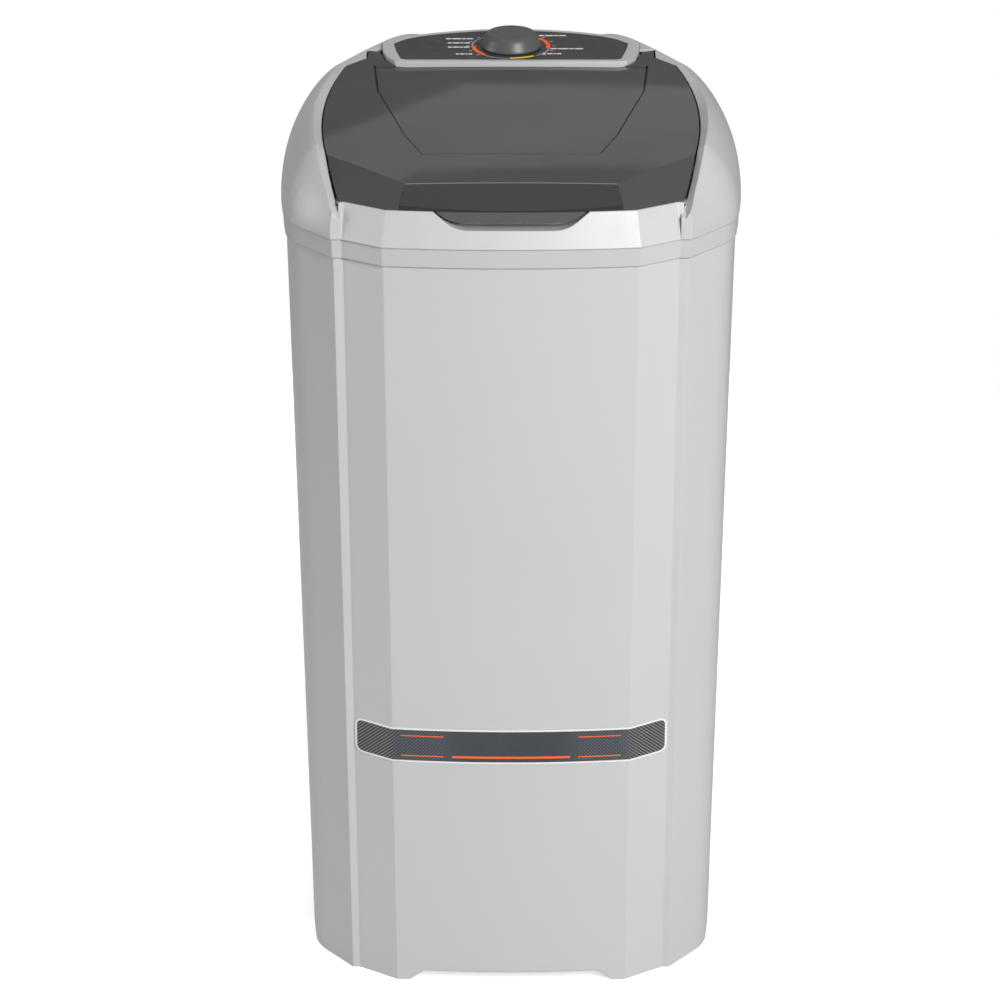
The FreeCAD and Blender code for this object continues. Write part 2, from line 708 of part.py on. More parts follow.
def frame_screw_spots():
    grow = -BASE_RING_WIDTH / 2
    spots = []
    for y in FRAME_SCREW_Y:
        x = PLAN.half_width(grow, y)
        spots += [(x, y), (-x, y)]
    rear = FRONT_REACH + grow
    return spots + [(FRAME_SCREW_REAR_X, rear), (-FRAME_SCREW_REAR_X, rear)]


def make_wash_tub():
    skirt = PLAN.prism(SKIRT_PROUD, BODY_TOP, CABINET_TOP).cut(PLAN.prism(SEAM, BODY_TOP, CABINET_TOP))
    flange = PLAN.prism(SKIRT_PROUD, CABINET_TOP, FLANGE_TOP)
    deep = -TUB_TAPER - TUB_CHAMFER
    above = FLANGE_TOP + WALL
    step = TUB_FLOOR + TUB_CHAMFER
    bowl = TUB.loft((deep + WALL, TUB_FLOOR - WALL), (WALL - TUB_TAPER, step), (WALL, FLANGE_TOP))
    hollow = TUB.loft((deep, TUB_FLOOR), (-TUB_TAPER, step), (0, FLANGE_TOP), (0, above))
    tub = fuse_all([flange, skirt, bowl])
    for x, y in bracket_spots():
        tub = tub.fuse(upright(BOLT_RADIUS * 3, x, y, BRACKET_TOP + GROMMET, TUB_FLOOR - WALL / 2))
    tub = tub.cut(hollow)
    tub = tub.cut(upright(SEAL_RADIUS + WALL + SEAM, 0, 0, 0, BIG))
    tub = tub.cut(upright(HOSE_BORE + WALL, DRAIN_X, DRAIN_Y, TUB_FLOOR - 2 * WALL, TUB_FLOOR + WALL))
    for x, y in bracket_spots():
        tub = tub.cut(upright(BOLT_RADIUS, x, y, BRACKET_TOP, TUB_FLOOR - WALL))
    for x, y in frame_screw_spots():
        tub = tub.cut(upright(FRAME_SCREW_CLEAR, x, y, BODY_TOP, FLANGE_TOP + WALL))
    return tub.cut(upright(HARNESS_RADIUS + HARNESS_ROOM, HARNESS_X, HARNESS_Y, BODY_TOP, BIG * 2))


# Top frame, rim and lid


def opening_half(y):
    """Half width of the flat ribbon between the wings."""
    front = LID.points[1][1]
    if y < front:
        return LID.points[1][0]
    taper_x, taper_y = LID_TAPER
    if y <= taper_y:
        return LID.half_width(0, y)
    share = (y - taper_y) / (FRONT_REACH + LIP_PROUD - taper_y)
    return taper_x * (1 - share) + REAR_RIBBON_HALF * share


def strip_y():
    """Front face of the wings at the lip."""
    return PLAN.points[1][1] - LIP_PROUD


def strip_height(y):
    """Crest of the wings along their bent-back front strip."""
    slope = (STRIP_TOP_Z - STRIP_BEND_Z) / (STRIP_TOP_Y - STRIP_BEND_Y)
    return STRIP_BEND_Z + slope * (y - STRIP_BEND_Y)


def riser_at(y):
    if y < RISER_FULL_Y:
        share = (y - strip_y()) / (RISER_FULL_Y - strip_y())
        return RISER_FRONT + (RISER - RISER_FRONT) * share
    share = min(1.0, max(0.0, (y - RISER_FADE_Y) / (RISER_LOW_Y - RISER_FADE_Y)))
    return RISER + (RISER_REAR - RISER) * share


def wing_section(y, wall):
    """Outline of the wings and the ribbon between them at one station, moved inward by wall."""
    lip = PLAN.half_width(LIP_PROUD - wall, y)
    edge_x = min(opening_half(y) + CREST_WALL_SHARE * wall, lip - WALL)
    top = top_height(y)
    fall = LID_CROWN * (edge_x / CROWN_HALF) ** 2
    edge_z = min(top - fall, strip_height(y) - riser_at(y)) - wall
    crest_x = min(edge_x + RISER_WIDTH, (edge_x + lip) / 2)
    crest_z = edge_z + riser_at(y)
    low = FLANGE_TOP
    high = crest_z - low
    wide = lip - crest_x
    poles = [Vector(lip, y, low), Vector(lip, y, low + ARCH_LOW * high),
             Vector(crest_x + ARCH_HIGH * wide, y, crest_z), Vector(crest_x, y, crest_z)]
    mirror = [Vector(-p.x, p.y, p.z) for p in reversed(poles)]
    right, left = Part.BezierCurve(), Part.BezierCurve()
    right.setPoles(poles)
    left.setPoles(mirror)
    inner = Vector(edge_x, y, edge_z)
    other = Vector(-edge_x, y, edge_z)
    middle = Vector(0, y, edge_z + fall)
    return Part.Wire([right.toShape(), line(poles[3], inner), arc(inner, middle, other),
                      line(other, mirror[0]), left.toShape(), line(mirror[3], poles[0])])


def wing_stations(wall):
    """Where the wings' sections stand, close together round the rear corners."""
    front = strip_y() + wall
    rear = FRONT_REACH + LIP_PROUD - wall
    count = round((REAR_DROP_Y - front) / WING_SIDE_STEP)
    sides = [front + (REAR_DROP_Y - front) * i / count for i in range(count + 1)]
    return sides + [REAR_DROP_Y + (rear - REAR_DROP_Y) * share for share in WING_REAR_SHARES] + [rear]


def wing_solid(wall):
    body = Part.makeLoft([wing_section(y, wall) for y in wing_stations(wall)], True, True)
    return body.cut(strip_cutter(wall))


def strip_cutter(wall):
    """Everything in front of the wings' leaning front strip."""
    points = [(-BIG, FLANGE_TOP - BASE_RING), (strip_y() + wall, FLANGE_TOP - BASE_RING),
              (strip_y() + wall, FLANGE_TOP), (STRIP_BEND_Y + wall, STRIP_BEND_Z),
              (STRIP_BEND_Y + wall, BIG * 2), (-BIG, BIG * 2)]
    return side_prism(points, BIG)


def band_solid(grow):
    """Leaning front band, as a full drafted solid."""
    low = (grow + LIP_PROUD, FLANGE_TOP)
    high = (grow + LID_FRONT_GROW, LID_FRONT_Z)
    return PLAN.loft(low, high)


def band_shell(room):
    """Front band between the wings, thickened both ways by room."""
    strip = PLAN.offset(LIP_PROUD).points[1]
    half = strip[0] + WALL
    zone = box(-half, half, -BIG, strip[1] + 2 * WALL + BAND_LEAN, 0, BIG * 2)
    return band_solid(room).cut(band_solid(-WALL - room)).common(zone)


def flared_points(half, bottom, slope, top):
    """Front outline that widens upward by slope, with rounded lower corners."""
    reach = SCOOP_ROUND / math.hypot(1, slope)
    side_x, side_z = half + slope * reach, bottom + reach
    points = []
    for step in range(ROUND_STEPS + 1):
        share = step / ROUND_STEPS
        along, up = (1 - share) ** 2, share ** 2
        x = half - SCOOP_ROUND * along + (side_x - half) * up
        points.append((x, bottom + (side_z - bottom) * up))
    return mirrored_plan(points + [(half + slope * (top - bottom), top)])


def scoop_points(grow, top):
    """Outline of the finger scoop from the front, moved outward by grow."""
    slope = (SCOOP_TOP_HALF - SCOOP_BOTTOM_HALF) / (LID_FRONT_Z - SCOOP_BOTTOM_Z)
    side = SCOOP_BOTTOM_HALF + grow * (math.hypot(1, slope) - slope)
    return flared_points(side, SCOOP_BOTTOM_Z - grow, slope, top)


def scoop_back():
    return -FRONT_REACH + SCOOP_DEPTH


def make_top_frame():
    wings = wing_solid(0).cut(wing_solid(WALL))
    wings = wings.cut(LID.prism(0, FLANGE_TOP - WALL, BIG * 2))
    wings = wings.cut(console_prism(SEAM, FLANGE_TOP - WALL, BIG * 2))
    strip_x = PLAN.offset(LIP_PROUD).points[1][0]
    wings = wings.cut(box(-strip_x, strip_x, -BIG, LID.points[1][1], FLANGE_TOP - WALL, BIG * 2))
    band = band_shell(0)
    pocket = front_prism(scoop_points(WALL, LID_FRONT_Z), -BIG, scoop_back() + WALL).common(band_solid(0))
    low, high = [LIP_PROUD - inset for inset in BASE_RING_INSETS]
    base = PLAN.loft((low, FLANGE_TOP), (high, FLANGE_TOP + BASE_RING))
    base = base.cut(PLAN.prism(LIP_PROUD - BASE_RING_WIDTH, FLANGE_TOP - WALL, FLANGE_TOP + 2 * BASE_RING))
    frame = fuse_all([base, wings, band, pocket])
    frame = frame.cut(front_prism(scoop_points(0, LID_FRONT_Z + WALL), -BIG, scoop_back()))
    for x, y in frame_screw_spots():
        top = FLANGE_TOP + BASE_RING - FRAME_SCREW_END / 2
        frame = frame.cut(upright(FRAME_SCREW_HOLE, x, y, FLANGE_TOP - WALL, top))
    return frame


def make_frame_screws():
    screws = []
    for x, y in frame_screw_spots():
        shank = upright(FRAME_SCREW, x, y, CABINET_TOP - HEAD / 2, FLANGE_TOP + BASE_RING - FRAME_SCREW_END)
        screws.append(shank.fuse(upright(FRAME_SCREW_HEAD, x, y, CABINET_TOP - HEAD, CABINET_TOP)))
    return Part.makeCompound(screws)


def make_inner_rim():
    above = BIG * 2
    ledge = LID.prism(-SEAM, FLANGE_TOP, above).cut(LID.prism(-RIM_WIDTH, FLANGE_TOP, above))
    ledge = ledge.common(lid_floor(LEDGE_DROP)).cut(lid_floor(LEDGE_DROP + WALL))
    wall = LID.prism(WALL - RIM_WIDTH, FLANGE_TOP, above).cut(LID.prism(-RIM_WIDTH, FLANGE_TOP, above))
    wall = wall.common(lid_floor(LEDGE_DROP + WALL / 2))
    floor = console_prism(-SEAM, CONSOLE_FLOOR_Z - WALL, CONSOLE_FLOOR_Z)
    rim = fuse_all([ledge, wall, floor])
    pocket = front_prism(scoop_points(WALL + SEAM, LID_FRONT_Z + WALL), -BIG, scoop_back() + WALL + SEAM)
    ring_inside = PLAN.prism(LIP_PROUD - BASE_RING_WIDTH - SEAM, FLANGE_TOP, above)
    over_ring = PLAN.prism(LIP_PROUD, FLANGE_TOP, FLANGE_TOP + BASE_RING + SEAM).cut(ring_inside)
    for cutter in (pocket, over_ring, band_shell(SEAM), hinge_axis_rod(HINGE_LUG + LEDGE_DROP, -BIG, BIG)):
        rim = rim.cut(cutter)
    return rim.cut(console_prism(SEAM, CONSOLE_FLOOR_Z, above))


def lid_field():
    """Sunk field in the lid's top."""
    half = [(RECESS_REAR_HALF, CONSOLE_FRONT_Y), *RECESS_SIDE]
    return plan_prism(mirrored_plan(half), FLANGE_TOP, BIG * 2).cut(under_lid(RECESS_DEPTH))


def lid_body(inset, drop):
    body = LID.prism(-LID_GAP - inset, FLANGE_TOP, BIG * 2).common(under_lid(drop))
    notch = console_prism(CONSOLE_GAP + inset, FLANGE_TOP - WALL, BIG * 2)
    run_out = console_prism(CONSOLE_GAP + inset, FLANGE_TOP - WALL, BIG * 2)
    run_out.translate(Vector(0, NOTCH_CLEAR, 0))
    notch = notch.fuse(run_out)
    body = body.cut(notch)
    for wedge in apron_wedges(inset):
        body = body.cut(wedge)
    return body


def apron_wedges(inset):
    """What the lid's three sloping front faces cut away: front panel and corner facets."""
    front = PLAN.offset(LID_FRONT_GROW - inset)
    corner = math.radians(CORNER_ANGLE)
    facet = front.points[0][0] * math.sin(corner) - front.points[0][1] * math.cos(corner)
    wedges = []
    for distance, angle in ((-front.front_mid[1], 0), (facet, CORNER_ANGLE), (facet, -CORNER_ANGLE)):
        steep = APRON_RISE / APRON_RUN
        y0, y1 = -distance - APRON_RUN, -distance + APRON_REACH
        z0, z1 = LID_FRONT_Z - APRON_RISE, LID_FRONT_Z + steep * APRON_REACH
        wedge = side_prism([(y0, z0), (y1, z1), (y0, z1)], BIG)
        wedge.rotate(Vector(), Vector(0, 0, 1), angle)
        wedges.append(wedge)
    return wedges


def hinge_axis_rod(radius, x0, x1):
    return rod(radius, Vector(x0, HINGE_Y, HINGE_Z), Vector(1, 0, 0), x1 - x0)


def ear_span():
    return CONSOLE_HALF + CONSOLE_GAP, LID.half_width(-LID_GAP, HINGE_Y)


def make_lid():
    shell = lid_body(0, 0).cut(lid_body(LID_WALL, LID_WALL)).cut(lid_floor(0))
    tab = band_solid(-TAB_SETBACK).cut(band_solid(-LID_WALL - TAB_SETBACK))
    tab_top = SCOOP_TOP_HALF - TAB_GAP
    tab_bottom = SCOOP_BOTTOM_HALF + (tab_top - SCOOP_BOTTOM_HALF) * TAB_FLARE
    slope = (tab_top - tab_bottom) / (LID_FRONT_Z - TAB_BOTTOM_Z)
    tab_face = flared_points(tab_bottom, TAB_BOTTOM_Z, slope, LID_FRONT_Z)
    tab = tab.common(front_prism(tab_face, -BIG, APRON_BACK))
    lid = shell.cut(lid_field())
    x0, x1 = ear_span()
    lug = hinge_axis_rod(HINGE_LUG, x0, x1).common(LID.prism(-LID_GAP / 2, FLANGE_TOP, BIG * 2))
    behind = box(-BIG, BIG, HINGE_Y, BIG, FLANGE_TOP, BIG * 2).cut(hinge_axis_rod(HINGE_LUG, -BIG, BIG))
    lid = fuse_all([lid.cut(behind), tab, lug, lug.mirror(Vector(), Vector(1, 0, 0))])
    return lid.cut(hinge_axis_rod(PIN_RADIUS + FIT, -BIG, BIG))


def pin_span():
    x0, x1 = ear_span()
    return x0 - PIN_SEAT, x1 - PIN_SHORT


def make_lid_hinge_pins():
    x0, x1 = pin_span()
    return both_sides(hinge_axis_rod(PIN_RADIUS, x0, x1))


def make_lid_bumpers():
    x = LID.half_width(-LID_GAP - LID_WALL / 2, BUMPER_Y)
    pad = upright(BUMPER_RADIUS, x, BUMPER_Y, FLANGE_TOP, BIG * 2)
    return both_sides(pad.common(lid_floor(SEAM)).cut(lid_floor(LEDGE_DROP)))


# Console, timer and knob


def panel_rod(radius, x, z0, z1):
    """Rod along the panel's normal, in the panel's own axes."""
    return rod(radius, Vector(x, 0, z0), Vector(0, 0, 1), z1 - z0)


def timer_screw_xs():
    return -TIMER_SCREW_X, TIMER_SCREW_X


def make_control_console():
    shell = console_prism(0, CONSOLE_FLOOR_Z, BIG * 2).common(under_panel(0))
    shell = shell.cut(console_prism(-WALL, CONSOLE_FLOOR_Z - WALL, BIG * 2).common(under_panel(WALL)))
    shell = shell.cut(overlay_prism(0, CONSOLE_FLOOR_Z, BIG * 2).cut(under_panel(OVERLAY)))
    x0, x1 = pin_span()
    boss = hinge_axis_rod(HINGE_LUG, x0, x1).common(console_prism(-WALL / 2, CONSOLE_FLOOR_Z, BIG * 2))
    shell = fuse_all([shell, boss, boss.mirror(Vector(), Vector(1, 0, 0))])
    shell = shell.cut(hinge_axis_rod(PIN_RADIUS, -BIG, BIG))
    shell = shell.cut(on_panel(panel_rod(TIMER_COLLAR_HOLE, 0, -2 * WALL, WALL)))
    harness = Vector(HARNESS_X, KNOB_Y, HARNESS_LEVEL)
    shell = shell.cut(rod(HARNESS_RADIUS + HARNESS_ROOM, harness, Vector(0, 1, 0), BIG))
    for x in timer_screw_xs():
        shell = shell.cut(on_panel(panel_rod(TIMER_SCREW_HOLE, x, -2 * WALL, -OVERLAY - TIMER_SCREW_END)))
    return shell


def make_panel_overlay():
    plate = overlay_prism(-SEAM, CONSOLE_FLOOR_Z, BIG * 2)
    plate = plate.common(under_panel(OVERLAY_RELIEF)).cut(under_panel(OVERLAY))
    return plate.cut(on_panel(panel_rod(OVERLAY_HOLE, 0, -2 * WALL, WALL)))


TIMER_TOP = -WALL - TIMER_PLATE


def make_timer_body():
    half = TIMER_SIZE / 2
    plate = box(-half - TIMER_EAR, half + TIMER_EAR, -half / 2, half / 2, TIMER_TOP, -WALL)
    body = box(-half, half, -half, half, TIMER_TOP - TIMER_DEPTH, TIMER_TOP)
    collar = panel_rod(TIMER_COLLAR, 0, TIMER_TOP, -SEAM)
    timer = fuse_all([plate, body, collar])
    timer = timer.cut(panel_rod(TIMER_SHAFT_RADIUS + FIT, 0, -TIMER_SHAFT_LOW - FIT, KNOB_HEIGHT))
    for x in timer_screw_xs():
        timer = timer.cut(panel_rod(TIMER_SCREW_HOLE, x, TIMER_TOP, -WALL))
    return on_panel(timer)


def make_timer_screws():
    screws = []
    for x in timer_screw_xs():
        shank = panel_rod(TIMER_SCREW, x, TIMER_TOP, -OVERLAY - 2 * TIMER_SCREW_END)
        head = panel_rod(TIMER_SCREW_HEAD, x, TIMER_TOP - TIMER_SCREW_CAP, TIMER_TOP)
        screws.append(shank.fuse(head))
    return on_panel(Part.makeCompound(screws))


def make_timer_shaft():
    return on_panel(panel_rod(TIMER_SHAFT_RADIUS, 0, -TIMER_SHAFT_LOW, KNOB_HEIGHT - KNOB_CAP))


def make_timer_knob():
    crown_radius = KNOB_TOP_RADIUS - KNOB_EDGE
    crown = [(crown_radius, KNOB_HEIGHT), (crown_radius * KNOB_CROWN_SHARES[0],
             KNOB_HEIGHT + KNOB_CROWN * KNOB_CROWN_SHARES[1]), (0, KNOB_HEIGHT + KNOB_CROWN)]
    outer = [(0, KNOB_LIFT), (KNOB_RADIUS, KNOB_LIFT), (KNOB_RADIUS, KNOB_LIFT + KNOB_FOOT),
             (KNOB_TOP_RADIUS, KNOB_HEIGHT - KNOB_EDGE)] + crown
    low, high = 0, KNOB_HEIGHT - KNOB_WALL
    hollow = [(KNOB_HUB, low), (KNOB_RADIUS - 2 * KNOB_WALL, low), (KNOB_TOP_RADIUS - KNOB_WALL, high),
              (KNOB_HUB, high)]
    knob = revolve(outer).cut(revolve(hollow))
    return on_panel(knob.cut(panel_rod(TIMER_SHAFT_RADIUS, 0, low, KNOB_HEIGHT - KNOB_CAP)))


# Agitator and its bearing


SEAL_TOP = TUB_FLOOR + SEAL_STAND
SEAL_BOTTOM = SEAL_TOP - SEAL_LENGTH
HOUSING_TOP = TUB_FLOOR - WALL
DISC_Z = TUB_FLOOR + AGITATOR_LIFT
DISC_TOP = DISC_Z + AGITATOR_DISC
HUB_TOP = DISC_Z + AGITATOR_HUB
HUB_RADIUS = AGITATOR_HUB * HUB_SHARE
SHAFT_TOP = DISC_Z + SHAFT_REACH
CAP_RADIUS = 0.8 * HUB_RADIUS


def make_agitator():
    foot = HUB_RADIUS / 2
    seat = SHAFT_TOP + SEAM
    profile = [(SHAFT_RADIUS, DISC_Z - AGITATOR_FOOT), (foot, DISC_Z - AGITATOR_FOOT), (foot, DISC_Z),
               (AGITATOR_RADIUS, DISC_Z), (AGITATOR_RADIUS, DISC_TOP),
               (1.5 * HUB_RADIUS, DISC_TOP + AGITATOR_FOOT), (CAP_RADIUS, HUB_TOP), (SCREW_WELL, HUB_TOP),
               (SCREW_WELL, seat), (SHAFT_RADIUS, seat)]
    body = revolve(profile)
    vanes = []
    for i in range(VANE_COUNT):
        z0 = DISC_Z + AGITATOR_DISC / 2
        points = [(foot, z0), (AGITATOR_RADIUS - VANE_INSET, z0),
                  (AGITATOR_RADIUS - VANE_TIP_INSET, z0 + VANE_HEIGHT * VANE_TIP_SHARE),
                  (foot, z0 + VANE_HEIGHT)]
        vane = front_prism(points, -VANE_THICK / 2, VANE_THICK / 2)
        vane.rotate(Vector(), Vector(0, 0, 1), 360.0 * i / VANE_COUNT)
        vanes.append(vane)
    return fuse_all([body] + vanes)


def make_agitator_screw():
    seat = SHAFT_TOP + SEAM
    head = upright(AGITATOR_SCREW_HEAD, 0, 0, seat, seat + AGITATOR_SCREW_CAP)
    return head.fuse(upright(AGITATOR_SCREW, 0, 0, SHAFT_TOP - AGITATOR_SCREW_LENGTH, seat + SEAM))


def make_agitator_cap():
    plug = tube(CAP_PLUG_RADIUS, CAP_PLUG_BORE, Vector(0, 0, HUB_TOP - CAP_PLUG), Vector(0, 0, 1), CAP_PLUG)
    dome = revolve([(0, HUB_TOP), (CAP_RADIUS, HUB_TOP), (CAP_RADIUS - CAP_EDGE, HUB_TOP + CAP_EDGE),
                    (0, HUB_TOP + CAP_DOME)])
    return dome.fuse(plug)


def make_agitator_shaft():
    shaft = upright(SHAFT_RADIUS, 0, 0, PULLEY_Z - SHAFT_TAIL, SHAFT_TOP)
    return shaft.cut(upright(AGITATOR_SCREW, 0, 0, SHAFT_TOP - AGITATOR_SCREW_HOLE, SHAFT_TOP))


def housing_bolt_spots():
    radius = HOUSING_FLANGE - HOUSING_BOLT_INSET
    return ring_spots(4, radius, 45.0)


def make_bearing_housing():
    body = upright(HOUSING_RADIUS, 0, 0, HOUSING_BOTTOM, HOUSING_TOP)
    flange = upright(HOUSING_FLANGE, 0, 0, HOUSING_TOP - HOUSING_PLATE, HOUSING_TOP)
    neck = upright(SEAL_RADIUS + WALL, 0, 0, HOUSING_TOP, SEAL_TOP)
    housing = fuse_all([body, flange, neck])
    housing = housing.cut(upright(SEAL_RADIUS, 0, 0, SEAL_BOTTOM, BIG))
    housing = housing.cut(upright(BUSH_RADIUS, 0, 0, 0, HOUSING_BOTTOM + BUSH_LENGTH))
    housing = housing.cut(upright(BUSH_RADIUS, 0, 0, SEAL_BOTTOM - BUSH_LENGTH, SEAL_BOTTOM))
    housing = housing.cut(upright(SHAFT_RADIUS + SHAFT_ROOM, 0, 0, 0, BIG))
    for x, y in housing_bolt_spots():
        housing = housing.cut(upright(BOLT_RADIUS, x, y, 0, BIG))
    return housing


def make_housing_bolts():
    bolts = []
    for x, y in housing_bolt_spots():
        low = HOUSING_TOP - HOUSING_PLATE
        shank = upright(BOLT_RADIUS, x, y, low, HOUSING_TOP)
        bolts.append(shank.fuse(upright(BOLT_RADIUS * 2, x, y, low - HEAD, low)))
    return Part.makeCompound(bolts)


def bush(z0):
    return tube(BUSH_RADIUS, SHAFT_RADIUS + FIT, Vector(0, 0, z0), Vector(0, 0, 1), BUSH_LENGTH)


def make_upper_bush():
    return bush(SEAL_BOTTOM - BUSH_LENGTH)


def make_lower_bush():
    return bush(HOUSING_BOTTOM)


def make_shaft_seal():
    return tube(SEAL_RADIUS, SHAFT_RADIUS + FIT, Vector(0, 0, SEAL_BOTTOM), Vector(0, 0, 1), SEAL_LENGTH)


# Belt drive and motor


def grooved_pulley(radius, groove, bore, x, y):
    slot = BELT_WIDTH + 2 * SEAM
    low = PULLEY_Z + (PULLEY_WIDTH - slot) / 2
    profile = [(bore, PULLEY_Z), (radius, PULLEY_Z), (radius, low), (groove, low), (groove, low + slot),
               (radius, low + slot), (radius, PULLEY_Z + PULLEY_WIDTH), (bore, PULLEY_Z + PULLEY_WIDTH)]
    wheel = revolve(profile)
    wheel.translate(Vector(x, y, 0))
    return wheel


def make_driven_pulley():
    wheel = grooved_pulley(PULLEY_RADIUS, PULLEY_GROOVE, SHAFT_RADIUS, 0, 0)
    spoke_radius = (PULLEY_GROOVE + SHAFT_RADIUS) / 2
    for x, y in ring_spots(SPOKE_HOLES, spoke_radius):
        wheel = wheel.cut(upright(SPOKE_HOLE_RADIUS, x, y, 0, BIG))
    top = Vector(0, 0, PULLEY_Z + PULLEY_WIDTH)
    length = HOUSING_BOTTOM - SEAM - top.z
    spacer = tube(SHAFT_RADIUS + PULLEY_SPACER, SHAFT_RADIUS, top, Vector(0, 0, 1), length)
    return wheel.fuse(spacer)


def make_pulley_nut():
    points = ring_spots(6, PULLEY_NUT_RADIUS)
    return plan_prism(points, PULLEY_Z - PULLEY_NUT, PULLEY_Z).cut(upright(SHAFT_RADIUS, 0, 0, 0, BIG))


def make_motor_pulley():
    return grooved_pulley(MOTOR_PULLEY_RADIUS, MOTOR_PULLEY_GROOVE, MOTOR_SHAFT_RADIUS, 0, MOTOR_Y)


def belt_loop(big, small):
    """Face inside a loop that is tangent to both pulleys."""
    lean = math.asin((big - small) / MOTOR_Y)
    side = Vector(math.cos(lean), math.sin(lean), 0)
    other = Vector(-side.x, side.y, 0)
    far = Vector(0, MOTOR_Y, 0)
    edges = [arc(other * big, Vector(0, -big, 0), side * big), line(side * big, far + side * small),
             arc(far + side * small, far + Vector(0, small, 0), far + other * small),
             line(far + other * small, other * big)]
    return Part.Face(Part.Wire(edges))


def make_drive_belt():
    inner_big, inner_small = PULLEY_GROOVE + SEAM, MOTOR_PULLEY_GROOVE + SEAM
    outer = belt_loop(inner_big + BELT_THICK, inner_small + BELT_THICK).extrude(Vector(0, 0, BELT_WIDTH))
    inner = belt_loop(inner_big, inner_small).extrude(Vector(0, 0, BELT_WIDTH))
    belt = outer.cut(inner)
    belt.translate(Vector(0, 0, PULLEY_Z + (PULLEY_WIDTH - BELT_WIDTH) / 2))
    return belt


def motor_upright(radius, z0, z1):
    return upright(radius, 0, MOTOR_Y, z0, z1)


def make_motor_stator():
    stack = motor_upright(MOTOR_RADIUS, MOTOR_BOTTOM + MOTOR_SHIELD, MOTOR_TOP - MOTOR_SHIELD)
    return stack.cut(motor_upright(MOTOR_RADIUS * ROTOR_SHARE, 0, BIG))


def motor_shield(z0, bearing_z):
    shield = motor_upright(MOTOR_RADIUS, z0, z0 + MOTOR_SHIELD)
    shield = shield.cut(motor_upright(MOTOR_SHAFT_RADIUS + MOTOR_SHAFT_ROOM, 0, BIG))
    return shield.cut(motor_upright(MOTOR_BEARING_RADIUS, bearing_z, bearing_z + MOTOR_BEARING))


LOWER_BEARING = MOTOR_BOTTOM + MOTOR_SHIELD - MOTOR_BEARING
UPPER_BEARING = MOTOR_TOP - MOTOR_SHIELD
BRACKET_Z = MOTOR_TOP
BRACKET_TOP = BRACKET_Z + BRACKET


def make_motor_lower_shield():
    return motor_shield(MOTOR_BOTTOM, LOWER_BEARING)


def make_motor_upper_shield():
    return motor_shield(MOTOR_TOP - MOTOR_SHIELD, UPPER_BEARING)


def make_motor_bearings():
    rings = []
    for z in (LOWER_BEARING, UPPER_BEARING):
        low = Vector(0, MOTOR_Y, z)
        bore = MOTOR_SHAFT_RADIUS + FIT
        rings.append(tube(MOTOR_BEARING_RADIUS, bore, low, Vector(0, 0, 1), MOTOR_BEARING))
    return Part.makeCompound(rings)


def make_motor_rotor():
    low, high = MOTOR_BOTTOM + MOTOR_SHIELD + ROTOR_END, MOTOR_TOP - MOTOR_SHIELD - ROTOR_END
    core = motor_upright(MOTOR_RADIUS * ROTOR_SHARE - ROTOR_GAP, low, high)
    return core.fuse(motor_upright(MOTOR_SHAFT_RADIUS, PULLEY_Z, UPPER_BEARING + MOTOR_BEARING))


def bracket_spots():
    reach = BRACKET_HALF - BRACKET_BOLT_INSET
    return [(sx * reach, MOTOR_Y - ahead) for sx in (-1, 1) for ahead in BRACKET_BOLTS_AHEAD]


def make_motor_bracket():
    plate = box(-BRACKET_HALF - BRACKET_WING, BRACKET_HALF, MOTOR_Y - BRACKET_FRONT, MOTOR_Y + BRACKET_REAR,
                BRACKET_Z, BRACKET_TOP)
    for x, y in bracket_spots():
        plate = plate.cut(upright(BOLT_RADIUS, x, y, 0, BIG))
    return plate


def make_bracket_grommets():
    grommets = []
    for x, y in bracket_spots():
        low = Vector(x, y, BRACKET_TOP)
        grommets.append(tube(BOLT_RADIUS * GROMMET_SHARE, BOLT_RADIUS, low, Vector(0, 0, 1), GROMMET))
    return Part.makeCompound(grommets)


def make_bracket_bolts():
    bolts = []
    for x, y in bracket_spots():
        shank = upright(BOLT_RADIUS, x, y, BRACKET_Z, TUB_FLOOR - WALL - SEAM)
        bolts.append(shank.fuse(upright(BOLT_RADIUS * 2, x, y, BRACKET_Z - HEAD, BRACKET_Z)))
    return Part.makeCompound(bolts)


def make_capacitor():
    return upright(CAPACITOR_RADIUS, CAPACITOR_X, MOTOR_Y, BRACKET_Z - CAPACITOR_LENGTH, BRACKET_Z)


def make_capacitor_clip():
    low = Vector(CAPACITOR_X, MOTOR_Y, BRACKET_Z - CLIP_LOW)
    outer = CAPACITOR_RADIUS + CAPACITOR_CLIP
    ring = tube(outer, CAPACITOR_RADIUS, low, Vector(0, 0, 1), CLIP_HEIGHT)
    tab = box(CAPACITOR_X - CLIP_TAB, CAPACITOR_X + CLIP_TAB, MOTOR_Y + CAPACITOR_RADIUS + CLIP_OVERLAP,
              MOTOR_Y + outer, low.z, BRACKET_Z)
    return ring.fuse(tab.cut(upright(CAPACITOR_RADIUS, CAPACITOR_X, MOTOR_Y, 0, BIG)))


TERMINAL_TOP = BRACKET_TOP + TERMINAL_HEIGHT


def make_terminal_block():
    return box(HARNESS_X - TERMINAL_HALF_X, HARNESS_X + TERMINAL_HALF_X, HARNESS_Y - TERMINAL_HALF_Y,
               HARNESS_Y + TERMINAL_HALF_Y, BRACKET_TOP, TERMINAL_TOP)


# Wiring, drain and filter


def pipe(points_edges, radius, bore):
    """Round tube, or rod if bore is 0, along edges that start along a known direction."""
    path = Part.Wire(points_edges)
    start = path.Edges[0].firstVertex().Point
    along = path.Edges[0].tangentAt(path.Edges[0].FirstParameter)
    outer = path.makePipe(Part.Face(Part.Wire(Part.makeCircle(radius, start, along))))
    if not bore:
        return outer
    return outer.cut(path.makePipe(Part.Face(Part.Wire(Part.makeCircle(bore, start, along)))))


